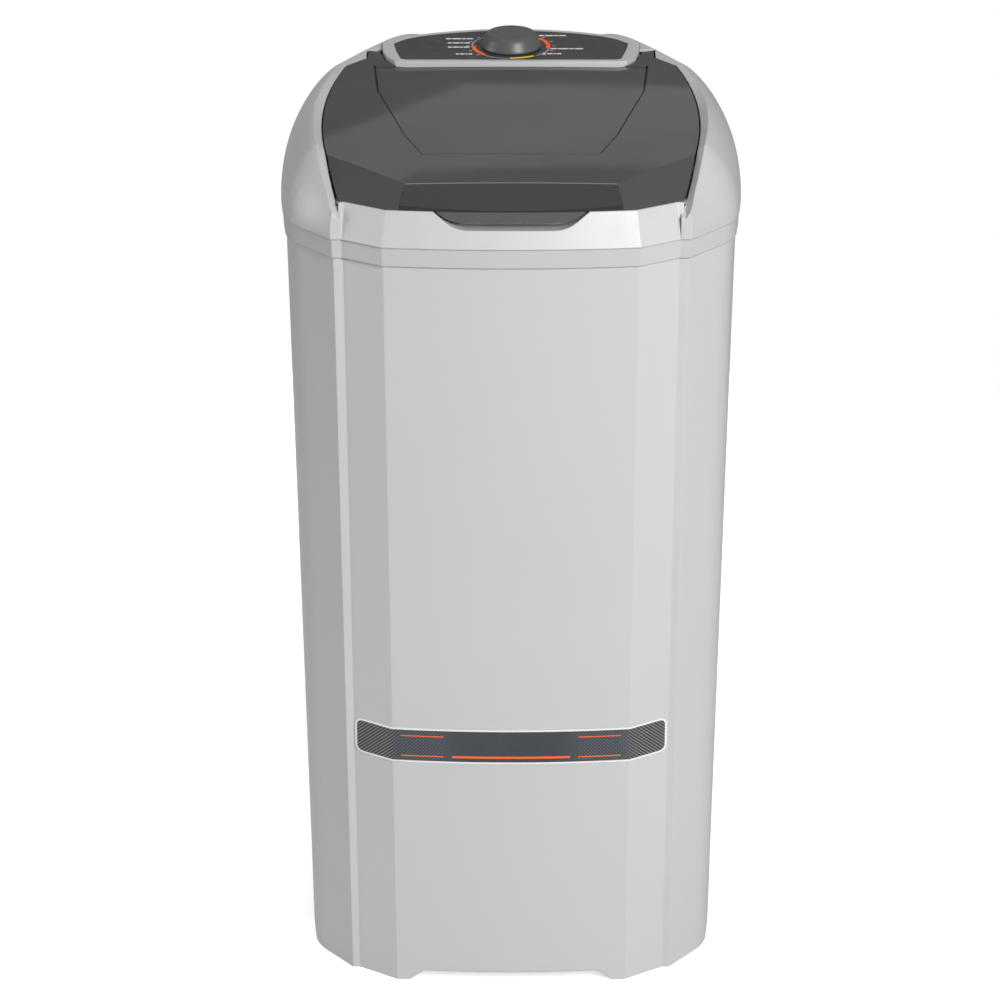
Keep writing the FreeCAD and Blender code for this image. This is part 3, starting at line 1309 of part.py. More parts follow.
def make_wiring_harness():
    """From the timer's underside back, then down behind the tub to the terminal block."""
    x, r, s = HARNESS_X, HARNESS_BEND, math.sqrt(0.5)
    below = TIMER_TOP - TIMER_DEPTH - 2 * SEAM
    start = panel_frame().multVec(Vector(-TIMER_SIZE / 4, HARNESS_START_Y, below))
    level = HARNESS_LEVEL
    first = Vector(start.x, start.y, level + r)
    second = Vector(start.x - r, start.y, level)
    turn_x = Vector(x + r, start.y, level)
    turn_y = Vector(x, start.y + r, level)
    edges = [line(start, first), arc(first, Vector(start.x - r + r * s, start.y, level + r - r * s), second),
             line(second, turn_x), arc(turn_x, Vector(x + r - r * s, start.y + r - r * s, level), turn_y)]
    drop_y = Vector(x, HARNESS_Y - r, level)
    drop_z = Vector(x, HARNESS_Y, level - r)
    end = Vector(x, HARNESS_Y, TERMINAL_TOP)
    drop_mid = Vector(x, HARNESS_Y - r + r * s, level - r + r * s)
    edges += [line(turn_y, drop_y), arc(drop_y, drop_mid, drop_z), line(drop_z, end)]
    return pipe(edges, HARNESS_RADIUS, 0)


def make_harness_clips():
    clips = []
    for z in HARNESS_CLIP_Z:
        low = Vector(HARNESS_X, HARNESS_Y, z)
        outer = HARNESS_RADIUS + HARNESS_CLIP
        ring = tube(outer, HARNESS_RADIUS, low, Vector(0, 0, 1), HARNESS_CLIP_WIDTH)
        back = rear_wall_y(z, -WALL) - SEAM
        arm = box(HARNESS_X - HARNESS_CLIP_ARM, HARNESS_X + HARNESS_CLIP_ARM, HARNESS_Y, back, z,
                  z + HARNESS_CLIP_WIDTH)
        clips.append(ring.fuse(arm.cut(upright(HARNESS_RADIUS, HARNESS_X, HARNESS_Y, 0, BIG * 2))))
    return Part.makeCompound(clips)


FITTING_BOTTOM = TUB_FLOOR - WALL - FITTING_TAIL
HOSE_TOP = TUB_FLOOR - WALL - FITTING_PLATE


def make_drain_fitting():
    flange = upright(HOSE_BORE + FITTING_FLANGE, DRAIN_X, DRAIN_Y, HOSE_TOP, TUB_FLOOR - WALL)
    neck = upright(HOSE_BORE + WALL - SEAM, DRAIN_X, DRAIN_Y, TUB_FLOOR - WALL, TUB_FLOOR)
    tail = upright(HOSE_BORE, DRAIN_X, DRAIN_Y, FITTING_BOTTOM, TUB_FLOOR - WALL)
    return fuse_all([flange, neck, tail]).cut(upright(SPIGOT_BORE, DRAIN_X, DRAIN_Y, 0, BIG))


def make_drain_strainer():
    disc = upright(HOSE_BORE + STRAINER_RIM, DRAIN_X, DRAIN_Y, TUB_FLOOR, TUB_FLOOR + STRAINER)
    for x, y in ring_spots(STRAINER_HOLES, STRAINER_RING):
        disc = disc.cut(upright(STRAINER_HOLE, DRAIN_X + x, DRAIN_Y + y, 0, BIG))
    return disc


def make_drain_hose():
    r, s = DRAIN_BEND, math.sqrt(0.5)
    top = Vector(DRAIN_X, DRAIN_Y, HOSE_TOP)
    bend_top = Vector(DRAIN_X, DRAIN_Y, DRAIN_Z + r)
    bend_mid = Vector(DRAIN_X, DRAIN_Y + r - r * s, DRAIN_Z + r - r * s)
    bend_end = Vector(DRAIN_X, DRAIN_Y + r, DRAIN_Z)
    end = Vector(DRAIN_X, spigot_inner_y() + HOSE_ON_TAIL, DRAIN_Z)
    path = [line(top, bend_top), arc(bend_top, bend_mid, bend_end), line(bend_end, end)]
    return pipe(path, HOSE_RADIUS, HOSE_BORE)


def spigot_inner_y():
    return rear_wall_y(DRAIN_Z) - SPIGOT_INSIDE


def make_hose_clamps():
    high = Vector(DRAIN_X, DRAIN_Y, FITTING_BOTTOM + CLAMP_UPPER)
    low = Vector(DRAIN_X, spigot_inner_y() + CLAMP_LOWER, DRAIN_Z)
    upper = tube(HOSE_RADIUS + CLAMP, HOSE_RADIUS, high, Vector(0, 0, 1), CLAMP_WIDTH)
    lower = tube(HOSE_RADIUS + CLAMP, HOSE_RADIUS, low, Vector(0, 1, 0), CLAMP_WIDTH)
    return Part.makeCompound([upper, lower])


def drain_rod(radius, y0, y1):
    return rod(radius, Vector(DRAIN_X, y0, DRAIN_Z), Vector(0, 1, 0), y1 - y0)


def make_drain_outlet():
    """Spigot through the rear cover, with a collar against its inner face."""
    inner = spigot_inner_y()
    shoulder = inner + SPIGOT_TAIL
    neck_end = rear_wall_y(DRAIN_Z + SPIGOT_RADIUS, WALL) + SPIGOT_NECK_OUT
    outer = FRONT_REACH + LIP_PROUD
    tail = drain_rod(HOSE_BORE, inner, shoulder)
    collar = drain_rod(SPIGOT_RADIUS + SPIGOT_COLLAR, shoulder, rear_wall_y(DRAIN_Z)).common(cabinet_solid(0))
    neck = drain_rod(SPIGOT_RADIUS + SPIGOT_NECK, shoulder, neck_end)
    spigot = drain_rod(SPIGOT_RADIUS, shoulder, outer)
    return fuse_all([tail, collar, neck, spigot]).cut(drain_rod(SPIGOT_BORE, 0, BIG))


def make_cord_gland():
    face = rear_wall_y(GLAND_Z, WALL)
    along = Vector(0, 1, 0)
    barrel = rod(CORD_HOLE * 2, Vector(GLAND_X, face - GLAND_BARREL, GLAND_Z), along, GLAND_BARREL)
    flange = rod(CORD_HOLE * 3, Vector(GLAND_X, face - WALL, GLAND_Z), along, WALL + GLAND_FLANGE)
    flange = flange.cut(cabinet_solid(WALL))
    return fuse_all([barrel, flange]).cut(rod(CORD_HOLE, Vector(GLAND_X, 0, GLAND_Z), along, BIG))


def filter_placement():
    lean = math.degrees(math.atan(TUB_TAPER / (FLANGE_TOP - TUB_FLOOR - TUB_CHAMFER)))
    share = (FLANGE_TOP - FILTER_Z) / (FLANGE_TOP - TUB_FLOOR - TUB_CHAMFER)
    x = -TUB_HALF + TUB_TAPER * share
    return Placement(Vector(x, 0, FILTER_Z), Rotation(Vector(0, 1, 0), -lean))


def on_filter_wall(shape):
    shape.Placement = filter_placement()
    return shape


def make_filter_holder():
    """Channel on the left tub wall, in local axes: X away from the wall, Z up the wall."""
    half = FILTER_WIDTH / 2 + SEAM
    wide = half + FILTER_RAIL
    tall = FILTER_HEIGHT * HOLDER_SHARE
    inside = FILTER_BACK + 2 * SEAM + FILTER_DEPTH
    outside = inside + FILTER_BACK
    back = box(0, FILTER_BACK, -wide, wide, 0, tall)
    sides = [box(0, outside, y, y + FILTER_RAIL, 0, tall) for y in (-wide, half)]
    lips = [box(inside, outside, y, y + FILTER_RAIL + FILTER_LIP, 0, tall)
            for y in (-wide, half - FILTER_LIP)]
    foot = box(0, outside, -wide, wide, -FILTER_RAIL, 0)
    return on_filter_wall(fuse_all([back, foot] + sides + lips))


def filter_window():
    half = FILTER_WIDTH / 2 - FILTER_BORDER
    return box(0, BIG, -half, half, FILTER_BORDER, FILTER_HEIGHT - FILTER_BORDER)


def make_lint_filter_frame():
    x0 = FILTER_BACK + SEAM
    frame = box(x0, x0 + FILTER_DEPTH, -FILTER_WIDTH / 2, FILTER_WIDTH / 2, SEAM, FILTER_HEIGHT)
    return on_filter_wall(frame.cut(filter_window()))


def make_lint_filter_mesh():
    x0 = FILTER_BACK + SEAM + FILTER_DEPTH / 2
    slab = box(x0, x0 + FILTER_MESH, -FILTER_WIDTH, FILTER_WIDTH, 0, FILTER_HEIGHT)
    return on_filter_wall(slab.common(filter_window()))


NODES = {
    "cabinet": make_cabinet,
    "rear_cover": make_rear_cover,
    "rear_cover_screws": make_rear_cover_screws,
    "front_strip": make_front_strip,
    "wash_tub": make_wash_tub,
    "top_frame": make_top_frame,
    "frame_screws": make_frame_screws,
    "inner_rim": make_inner_rim,
    "lid": make_lid,
    "lid_hinge_pins": make_lid_hinge_pins,
    "lid_bumpers": make_lid_bumpers,
    "control_console": make_control_console,
    "panel_overlay": make_panel_overlay,
    "timer_body": make_timer_body,
    "timer_screws": make_timer_screws,
    "timer_shaft": make_timer_shaft,
    "timer_knob": make_timer_knob,
    "agitator": make_agitator,
    "agitator_screw": make_agitator_screw,
    "agitator_cap": make_agitator_cap,
    "agitator_shaft": make_agitator_shaft,
    "bearing_housing": make_bearing_housing,
    "housing_bolts": make_housing_bolts,
    "upper_bush": make_upper_bush,
    "lower_bush": make_lower_bush,
    "shaft_seal": make_shaft_seal,
    "driven_pulley": make_driven_pulley,
    "pulley_nut": make_pulley_nut,
    "drive_belt": make_drive_belt,
    "motor_pulley": make_motor_pulley,
    "motor_rotor": make_motor_rotor,
    "motor_stator": make_motor_stator,
    "motor_lower_shield": make_motor_lower_shield,
    "motor_upper_shield": make_motor_upper_shield,
    "motor_bearings": make_motor_bearings,
    "motor_bracket": make_motor_bracket,
    "bracket_grommets": make_bracket_grommets,
    "bracket_bolts": make_bracket_bolts,
    "capacitor": make_capacitor,
    "capacitor_clip": make_capacitor_clip,
    "terminal_block": make_terminal_block,
    "wiring_harness": make_wiring_harness,
    "harness_clips": make_harness_clips,
    "drain_fitting": make_drain_fitting,
    "drain_strainer": make_drain_strainer,
    "drain_hose": make_drain_hose,
    "hose_clamps": make_hose_clamps,
    "drain_outlet": make_drain_outlet,
    "cord_gland": make_cord_gland,
    "filter_holder": make_filter_holder,
    "lint_filter_frame": make_lint_filter_frame,
    "lint_filter_mesh": make_lint_filter_mesh,
}

os.makedirs("parts", exist_ok=True)
for name, make in NODES.items():
    make().exportStep(f"parts/{name}.step")
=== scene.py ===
import json
import math

import bmesh
import bpy
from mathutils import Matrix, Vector


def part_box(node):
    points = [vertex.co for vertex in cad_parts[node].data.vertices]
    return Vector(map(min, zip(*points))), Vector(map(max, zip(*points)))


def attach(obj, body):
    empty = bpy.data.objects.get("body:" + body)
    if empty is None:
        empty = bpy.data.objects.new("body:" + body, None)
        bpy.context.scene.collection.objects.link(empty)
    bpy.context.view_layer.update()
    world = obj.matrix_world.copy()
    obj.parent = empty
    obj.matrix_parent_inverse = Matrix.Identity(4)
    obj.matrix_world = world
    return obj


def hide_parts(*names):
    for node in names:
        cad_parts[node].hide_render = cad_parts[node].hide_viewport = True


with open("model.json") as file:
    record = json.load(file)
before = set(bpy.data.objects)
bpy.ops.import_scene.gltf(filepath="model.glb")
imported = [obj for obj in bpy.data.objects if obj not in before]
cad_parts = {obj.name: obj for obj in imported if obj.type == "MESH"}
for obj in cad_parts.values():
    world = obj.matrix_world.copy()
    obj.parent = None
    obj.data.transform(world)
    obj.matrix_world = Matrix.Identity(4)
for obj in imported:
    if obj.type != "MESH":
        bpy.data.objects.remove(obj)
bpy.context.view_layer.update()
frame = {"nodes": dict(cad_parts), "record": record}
scene = bpy.context.scene

# Material slot and body of each CAD node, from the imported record
SLOTS = {entry["node"]: entry["material_slot"] for entry in frame["record"]["subparts"]}
BODIES = {node: body for body, nodes in frame["record"]["behaviour"]["bodies"].items() for node in nodes}

# Sizes and places below are in metres, apart from the camera's lens and sensor, which are in millimetres

# Camera of the photograph
CAMERA_PLACE = (0.0, -3.973, 2.177)
CAMERA_AIM = (0.0, 0.0, 0.526)
CAMERA_LENS = 127.3
CAMERA_SENSOR = 36.0
CAMERA_SHIFT_X = -0.011

# Control panel: its slope and the dial's place as in the model, its height from the frame
PANEL_TILT = math.radians(3.0)
DIAL_Y = 0.162
panel_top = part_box("panel_overlay")[1]
DIAL_CENTRE = Vector((0.0, DIAL_Y, panel_top.z - (panel_top.y - DIAL_Y) * math.tan(PANEL_TILT)))
PRINT_LIFT = 0.00011

# Hatching of the panel, and how far its lines lean
HATCH_PITCH = 0.0036
HATCH_LEAN = 0.45
HATCH_DARK = (0.010, 0.011, 0.014)
HATCH_PALE = (0.072, 0.073, 0.078)

# Colours of the print
INKS = {"white": (0.72, 0.72, 0.72), "orange": (0.92, 0.13, 0.008), "yellow": (1.0, 0.76, 0.0)}

# Arcs printed round the dial: name, inner radius, first and last angle in degrees, and ink
DIAL_RADIUS = 0.0475
ARC_INNER = 0.0425
FRONT_ARC_INNER = 0.0435
LINE_INNER = 0.0465
ARC_STEPS = 48
DIAL_ARCS = (("dial_arc_left", ARC_INNER, 178.0, 226.0, "orange"),
             ("dial_arc_right", ARC_INNER, -12.0, 42.0, "orange"),
             ("dial_arc_front", FRONT_ARC_INNER, 268.0, 306.0, "yellow"),
             ("dial_line_left", LINE_INNER, 130.0, 176.0, "white"),
             ("dial_line_right", LINE_INNER, 310.0, 346.0, "white"),
             ("dial_line_front", LINE_INNER, 228.0, 266.0, "white"))

# Ticks outside the arcs, at these angles in degrees
TICK_TURNS = range(-40, 221, 20)
TICK_RADIUS = 0.0515
TICK_LENGTH = 0.0045
TICK_WIDTH = 0.0011

# Rows of short marks beside the dial: middle x, middle y and length on the panel
MARK_ROWS = ((-0.062, 0.028, 0.034), (-0.063, 0.012, 0.028), (-0.063, -0.004, 0.027), (-0.056, -0.030, 0.021),
             (0.050, 0.040, 0.034), (0.067, -0.010, 0.040), (0.049, -0.029, 0.023))
MARK_DASHES = (0.22, 0.34, 0.16, 0.28)
MARK_GAP = 0.0013
MARK_HEIGHT = 0.0042

# Front strip: its size from the frame, its corner radius as in the model
strip_low, strip_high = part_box("front_strip")
STRIP_HALF = strip_high.x
STRIP_LOW = strip_low.z
STRIP_HEIGHT = strip_high.z - strip_low.z
STRIP_CORNER = 0.009

# Where the strip's print starts, faint and then full: the pale border in from the edge, the dots and the
# slanted lines out from the middle
BORDER_START = (0.0026, 0.0020)
DOTS_START = (0.055, 0.09)
ENDS_START = (0.130, 0.146)

# Dots and slanted lines of the strip
STRIP_PITCH = 0.0042
SLATE = (0.040, 0.046, 0.056)
DOT_GREY = (0.125, 0.135, 0.152)
END_DARK = (0.014, 0.015, 0.017)
END_PALE = (0.165, 0.17, 0.18)

# Orange lines on the strip: heights, and half thicknesses and half lengths with their soft edges
LINE_LOW = STRIP_LOW + 0.0085
LINE_HIGH = STRIP_LOW + 0.0345
CENTRE_THICK = (0.0011, 0.0005)
CENTRE_LONG = (0.068, 0.002)
SIDE_THICK = (0.0004, 0.0004)
SIDE_LONG = (0.024, 0.002)
SIDE_MIDDLE = 0.104

# Lid, as in the model: crease above its apron, and the apron's lower edge
CREASE_Y = -0.2236
CREASE_BOW = 0.094
CREASE_HALF = 0.117
APRON_FLARE = 0.29
APRON_LOW = 0.975

# Right side of the lid's sunk field, from the console to its front edge
FIELD_SIDE = ((0.162, 0.104), (0.1555, 0.025), (0.121, -0.101), (0.100, -0.152))

# Lines on the lid, a painted highlight along the crease and painted shade round the field: half widths and
# soft edges, and the soft ends of the lines round the field
CREASE_HIGHLIGHT_LINE = (0.0004, 0.0006)
FIELD_FRONT_LINE = (0.0007, 0.0006)
FIELD_SIDE_LINE = (0.0009, 0.0007)
FRONT_END_SOFT = 0.0005
SIDE_END_SOFT = 0.0003
APRON_SOFT = 0.001

# Colours of the lid, with painted shade on the apron and along the field's edge, painted light on the tab and
# a painted highlight on the crease; how much of what is under it shows through, and its shine
LID_DARK = (0.068, 0.068, 0.069)
LID_PALE = (0.078, 0.078, 0.079)
LID_FLOW = (1.0, 2.5, 2.5)
APRON_SHADE_GREY = (0.034, 0.034, 0.035)
TAB_LIGHT_GREY = (0.095, 0.095, 0.097)
CREASE_HIGHLIGHT_GREY = (0.19, 0.19, 0.19)
FIELD_SHADE_GREY = (0.012, 0.012, 0.012)
LID_TINT = (0.55, 0.55, 0.56, 1.0)
LID_CLEAR = 0.10
LID_SHINE = 0.55
FIELD_LINE_DULL = 0.45

# Net of the lint filter
NET_PITCH = 0.0016
NET_GAP = (0.10, 0.17, 0.30)
NET_THREAD = (0.42, 0.52, 0.66)

# Flakes in the silver paint
SILVER_DARK = (0.465, 0.465, 0.47)
SILVER_PALE = (0.535, 0.535, 0.54)

# Looks of the moulded, painted and rubber pieces, by material slot
MOULDED = {
    "cabinet_grey": dict(colour=(0.50, 0.50, 0.505), roughness=0.42, grain=1500.0, relief=0.04,
                         edge=0.0018, mottle=0.008),
    "tub_grey": dict(colour=(0.47, 0.47, 0.475), roughness=0.40, grain=1500.0, relief=0.04,
                     edge=0.0016, mottle=0.008),
    "rim_grey": dict(colour=(0.30, 0.305, 0.31), roughness=0.45, grain=1200.0, relief=0.06),
    "knob_dark": dict(colour=(0.082, 0.083, 0.085), roughness=0.36, grain=1800.0, relief=0.05, mottle=0.06),
    "white_plastic": dict(colour=(0.74, 0.74, 0.72), roughness=0.40, grain=1500.0, relief=0.05),
    "black_plastic": dict(colour=(0.022, 0.022, 0.023), roughness=0.45, grain=1500.0, relief=0.08,
                          edge=0.001, mottle=0.1),
    "pulsator_blue": dict(colour=(0.10, 0.22, 0.42), roughness=0.34, grain=1300.0, relief=0.05),
    "motor_paint": dict(colour=(0.035, 0.037, 0.04), roughness=0.5, grain=900.0, relief=0.12),
    "rubber": dict(colour=(0.018, 0.018, 0.018), roughness=0.75, grain=1100.0, relief=0.15),
    "hose_grey": dict(colour=(0.23, 0.235, 0.24), roughness=0.5, grain=1000.0, relief=0.08),
}

# Looks of the bare metal pieces, by material slot; the marks are finer along a larger stretch
METALS = {
    "steel": dict(colour=(0.58, 0.58, 0.60), roughness=0.28, stretch=(1.0, 1.0, 12.0), relief=0.05),
    "cast_alloy": dict(colour=(0.50, 0.50, 0.52), roughness=0.48, stretch=(1.0, 1.0, 1.0), relief=0.35),
    "bronze": dict(colour=(0.50, 0.30, 0.13), roughness=0.38, stretch=(1.0, 1.0, 8.0), relief=0.1),
    "zinc_plate": dict(colour=(0.60, 0.61, 0.58), roughness=0.34, stretch=(3.0, 1.0, 3.0), relief=0.08),
}

# Pieces shown with smooth shading, up to a crisp or a soft angle in degrees
CRISP = 14.0
SOFT = 28.0
SMOOTH_SHELLS = {"cabinet": CRISP, "wash_tub": CRISP, "top_frame": CRISP, "lid": CRISP, "inner_rim": SOFT,
                 "control_console": SOFT, "timer_knob": SOFT, "front_strip": SOFT}
WELD_DISTANCE = 2e-5

# Studio: round floor, light of the room, and the white that the camera sees
FLOOR_RADIUS = 1.9
FLOOR_SIDES = 96
FLOOR_TONE = (0.62, 0.62, 0.62)
FLOOR_LIFT = 0.68
ROOM_LIGHT = 0.2
WHITE = (1.0, 1.0, 1.0, 1.0)

# Soft boxes: name, place, aim, width, height, power in watts, and whether glossy pieces mirror it
SOFT_BOXES = (("key", (2.0, -3.55, 2.7), (0.0, 0.0, 0.6), 1.8, 1.8, 226.0, True),
              ("fill", (-3.9, -0.3, 1.4), (0.0, 0.0, 0.5), 2.0, 2.0, 54.0, True),
              ("top", (0.0, 0.3, 3.4), (0.0, 0.0, 0.9), 2.6, 2.2, 8.0, True),
              ("back", (-1.0, 3.4, 2.0), (0.0, 0.0, 0.6), 2.4, 1.6, 60.0, False))

# Reflector board behind the machine, which only the glossy pieces show: x and z of its corners
BOARD_Y = 3.0
BOARD_GLOW = 0.54
BOARD_CORNERS = ((-0.62, 3.20), (-0.45, 3.01), (-0.11, 2.61), (0.33, 2.62), (0.62, 2.66), (0.62, 3.53),
                 (0.48, 3.50), (0.43, 3.32), (0.37, 3.26), (0.0, 3.29), (-0.24, 3.33), (-0.46, 3.48),
                 (-0.62, 3.55))


class Shader:
    """A node material with short calls for the few node kinds used here."""

    # Values of a noise that a spread takes as its low and its high end
    NOISE_LOW = 0.3
    NOISE_HIGH = 0.7
    EDGE_SAMPLES = 6

    def __init__(self, name):
        self.material = bpy.data.materials.new(name)
        self.material.use_nodes = True
        self.tree = self.material.node_tree
        self.tree.nodes.clear()
        self.output = self.node("ShaderNodeOutputMaterial")
        self.surface = self.node("ShaderNodeBsdfPrincipled")
        self.link(self.surface.outputs[0], self.output.inputs["Surface"])
        self.place = self.node("ShaderNodeTexCoord").outputs["Object"]

    def node(self, kind, **settings):
        made = self.tree.nodes.new(kind)
        for key, value in settings.items():
            setattr(made, key, value)
        return made

    def link(self, source, target):
        self.tree.links.new(source, target)

    def put(self, **values):
        """Set sockets of the surface, with _ for each space in their names."""
        for key, value in values.items():
            self.surface.inputs[key.replace("_", " ")].default_value = value

    def noise(self, scale, detail=3.0, stretch=None):
        made = self.node("ShaderNodeTexNoise")
        made.inputs["Scale"].default_value = scale
        made.inputs["Detail"].default_value = detail
        self.link(self.stretched(stretch) if stretch else self.place, made.inputs["Vector"])
        return made.outputs["Fac"]

    def stretched(self, stretch):
        made = self.node("ShaderNodeMapping")
        made.inputs["Scale"].default_value = stretch
        self.link(self.place, made.inputs["Vector"])
        return made.outputs["Vector"]

    def spread(self, source, low=0.0, high=1.0):
        """A noise spread from low to high."""
        made = self.node("ShaderNodeMapRange")
        made.inputs["From Min"].default_value = self.NOISE_LOW
        made.inputs["From Max"].default_value = self.NOISE_HIGH
        made.inputs["To Min"].default_value = low
        made.inputs["To Max"].default_value = high
        self.link(source, made.inputs["Value"])
        return made.outputs["Result"]

    def mixed(self, factor, low, high):
        """Colour between low and high; either may be a colour or a socket."""
        made = self.node("ShaderNodeMix", data_type="RGBA")
        self.link(factor, made.inputs["Factor"])
        for name, value in (("A", low), ("B", high)):
            socket = [s for s in made.inputs if s.name == name and s.type == "RGBA"][0]
            if isinstance(value, tuple):
                socket.default_value = (*value, 1.0)
            else:
                self.link(value, socket)
        return [s for s in made.outputs if s.type == "RGBA"][0]

    def mottled(self, colour, amount, scale):
        """Colour that wanders by a small amount round the given one."""
        low = tuple(c * (1 - amount) for c in colour)
        high = tuple(min(1.0, c * (1 + amount)) for c in colour)
        return self.mixed(self.spread(self.noise(scale)), low, high)

    def paint(self, colour):
        self.link(colour, self.surface.inputs["Base Color"])

    def gloss(self, low, high, scale):
        """Roughness that wanders between low and high."""
        self.link(self.spread(self.noise(scale), low, high), self.surface.inputs["Roughness"])

    def bump(self, height, strength, distance, edge=0.0):
        """Relief from a height socket, over edges rounded by the given radius."""
        made = self.node("ShaderNodeBump")
        made.inputs["Strength"].default_value = strength
        made.inputs["Distance"].default_value = distance
        self.link(height, made.inputs["Height"])
        if edge:
            rounded = self.node("ShaderNodeBevel", samples=self.EDGE_SAMPLES)
            rounded.inputs["Radius"].default_value = edge
            self.link(rounded.outputs["Normal"], made.inputs["Normal"])
        self.link(made.outputs["Normal"], self.surface.inputs["Normal"])

    def number(self, operation, a, b=None):
        """Result of a sum, product or other function; a and b may be numbers or sockets."""
        made = self.node("ShaderNodeMath", operation=operation)
        for socket, value in zip(made.inputs, (a, b)):
            if value is None:
                continue
            if isinstance(value, (int, float)):
                socket.default_value = value
            else:
                self.link(value, socket)
        return made.outputs[0]

    def axes(self):
        """Sockets of a point's x, y and z."""
        made = self.node("ShaderNodeSeparateXYZ")
        self.link(self.place, made.inputs[0])
        return made.outputs

    def wave(self, function, source, pitch):
        """Sine or cosine of a length, with one period in each pitch."""
        return self.number(function, self.number("MULTIPLY", source, 2 * math.pi / pitch))

    def between(self, source, low, high):
        """0 below low, 1 above high, smooth in between."""
        made = self.node("ShaderNodeMapRange", interpolation_type="SMOOTHSTEP")
        made.inputs["From Min"].default_value = low
        made.inputs["From Max"].default_value = high
        self.link(source, made.inputs["Value"])
        return made.outputs["Result"]

    def near(self, source, centre, half, soft):
        """1 within half of the centre, 0 beyond a soft edge."""
        away = self.number("ABSOLUTE", self.number("SUBTRACT", source, centre))
        return self.number("SUBTRACT", 1.0, self.between(away, half, half + soft))

    def overlap(self, a, b):
        """1 where both masks are 1."""
        return self.number("MULTIPLY", a, b)


def moulded(name, colour, roughness, grain, relief, edge=0.0012, mottle=0.03):
    """Moulded plastic: a fine spark-eroded grain, slightly uneven colour and gloss."""
    uneven = 0.05
    shader = Shader(name)
    shader.paint(shader.mottled(colour, amount=mottle, scale=9.0))
    shader.gloss(roughness - uneven, roughness + uneven, scale=40.0)
    shader.bump(shader.noise(grain, detail=2.0), strength=relief, distance=0.0004, edge=edge)
    shader.put(Specular_IOR_Level=0.45)
    return shader.material


def metal(name, colour, roughness, stretch, relief):
    """Bare metal with drawn, turned or cast marks."""
    shinier = 0.1
    duller = 0.12
    shader = Shader(name)
    shader.paint(shader.mottled(colour, amount=0.08, scale=60.0))
    marks = shader.noise(scale=260.0, detail=4.0, stretch=stretch)
    uneven = shader.spread(marks, roughness - shinier, roughness + duller)
    shader.link(uneven, shader.surface.inputs["Roughness"])
    shader.bump(marks, strength=relief, distance=0.0003)
    shader.put(Metallic=1.0)
    return shader.material


def silver_paint():
    """Silver moulding: pale, with fine flakes in the paint and a soft sheen."""
    shader = Shader("frame_silver")
    flakes = shader.spread(shader.noise(scale=2600.0, detail=1.0))
    shader.paint(shader.mixed(flakes, SILVER_DARK, SILVER_PALE))
    shader.gloss(low=0.40, high=0.50, scale=30.0)
    shader.bump(shader.noise(scale=700.0, detail=2.0), strength=0.04, distance=0.0003, edge=0.0016)
    shader.put(Metallic=0.1, Specular_IOR_Level=0.4, Coat_Weight=0.05, Coat_Roughness=0.25)
    return shader.material


def field_shade_line(shader, x, y):
    """1 along the edge of the lid's sunk field, where the line of painted shade goes, 0 elsewhere."""
    across = shader.number("ABSOLUTE", x)
    front_half, front_y = FIELD_SIDE[-1]
    edge = shader.overlap(shader.near(y, front_y, *FIELD_FRONT_LINE),
                          shader.near(across, 0.0, front_half, FRONT_END_SOFT))
    for (x0, y0), (x1, y1) in zip(FIELD_SIDE, FIELD_SIDE[1:]):
        slope = (x1 - x0) / (y1 - y0)
        side = shader.number("ADD", shader.number("MULTIPLY", y, slope), x0 - slope * y0)
        on_side = shader.near(shader.number("SUBTRACT", across, side), 0.0, *FIELD_SIDE_LINE)
        in_reach = shader.near(y, (y0 + y1) / 2, (y0 - y1) / 2, SIDE_END_SOFT)
        edge = shader.number("MAXIMUM", edge, shader.overlap(on_side, in_reach))
    return edge


def lid_colour(shader, x, y, z):
    """Faintly flowing grey of the lid, with painted shade on the darker apron, painted light on the paler tab
    and a painted highlight along the crease.
    """
    bow = shader.number("MULTIPLY", shader.number("POWER", x, 2.0), CREASE_BOW)
    ahead = shader.number("SUBTRACT", CREASE_Y, shader.number("ADD", y, bow))
    flare = shader.number("MULTIPLY", ahead, APRON_FLARE)
    across = shader.number("SUBTRACT", shader.number("ABSOLUTE", x), flare)
    in_front = shader.near(across, 0.0, CREASE_HALF, APRON_SOFT)
    # Painted shade: the apron below the crease gets a darker grey than the lid's top
    on_apron = shader.overlap(shader.between(ahead, 0.0, APRON_SOFT), in_front)
    # Painted light: the tab below the apron's lower edge gets a paler grey
    above_tab = shader.between(z, APRON_LOW - APRON_SOFT / 2, APRON_LOW + APRON_SOFT / 2)
    # Painted highlight: a pale line along the crease between the lid's top and its apron
    crease_highlight = shader.overlap(shader.near(ahead, 0.0, *CREASE_HIGHLIGHT_LINE), in_front)
    flow = shader.spread(shader.noise(scale=5.0, detail=2.0, stretch=LID_FLOW))
    top = shader.mixed(flow, LID_DARK, LID_PALE)
    with_apron_shade = shader.mixed(on_apron, top, APRON_SHADE_GREY)
    with_tab_light = shader.mixed(above_tab, TAB_LIGHT_GREY, with_apron_shade)
    return shader.mixed(crease_highlight, with_tab_light, CREASE_HIGHLIGHT_GREY)


def smoked_lid():
    """Smoked glossy plastic, a little clear, with a dull dark line of painted shade round its sunk field."""
    shader = Shader("lid_smoke")
    x, y, z = shader.axes()
    edge = field_shade_line(shader, x, y)
    # Painted shade: a dark line along the step at the sunk field's edge
    shader.paint(shader.mixed(edge, lid_colour(shader, x, y, z), FIELD_SHADE_GREY))
    shader.gloss(low=0.04, high=0.07, scale=14.0)
    shader.bump(shader.noise(scale=900.0, detail=2.0), strength=0.02, distance=0.0002)
    shine = shader.number("SUBTRACT", LID_SHINE, shader.number("MULTIPLY", edge, FIELD_LINE_DULL))
    shader.link(shine, shader.surface.inputs["Specular IOR Level"])
    clear = shader.node("ShaderNodeBsdfTransparent")
    clear.inputs["Color"].default_value = LID_TINT
    both = shader.node("ShaderNodeMixShader")
    both.inputs[0].default_value = LID_CLEAR
    shader.link(shader.surface.outputs[0], both.inputs[1])
    shader.link(clear.outputs[0], both.inputs[2])
    shader.link(both.outputs[0], shader.output.inputs["Surface"])
    return shader.material


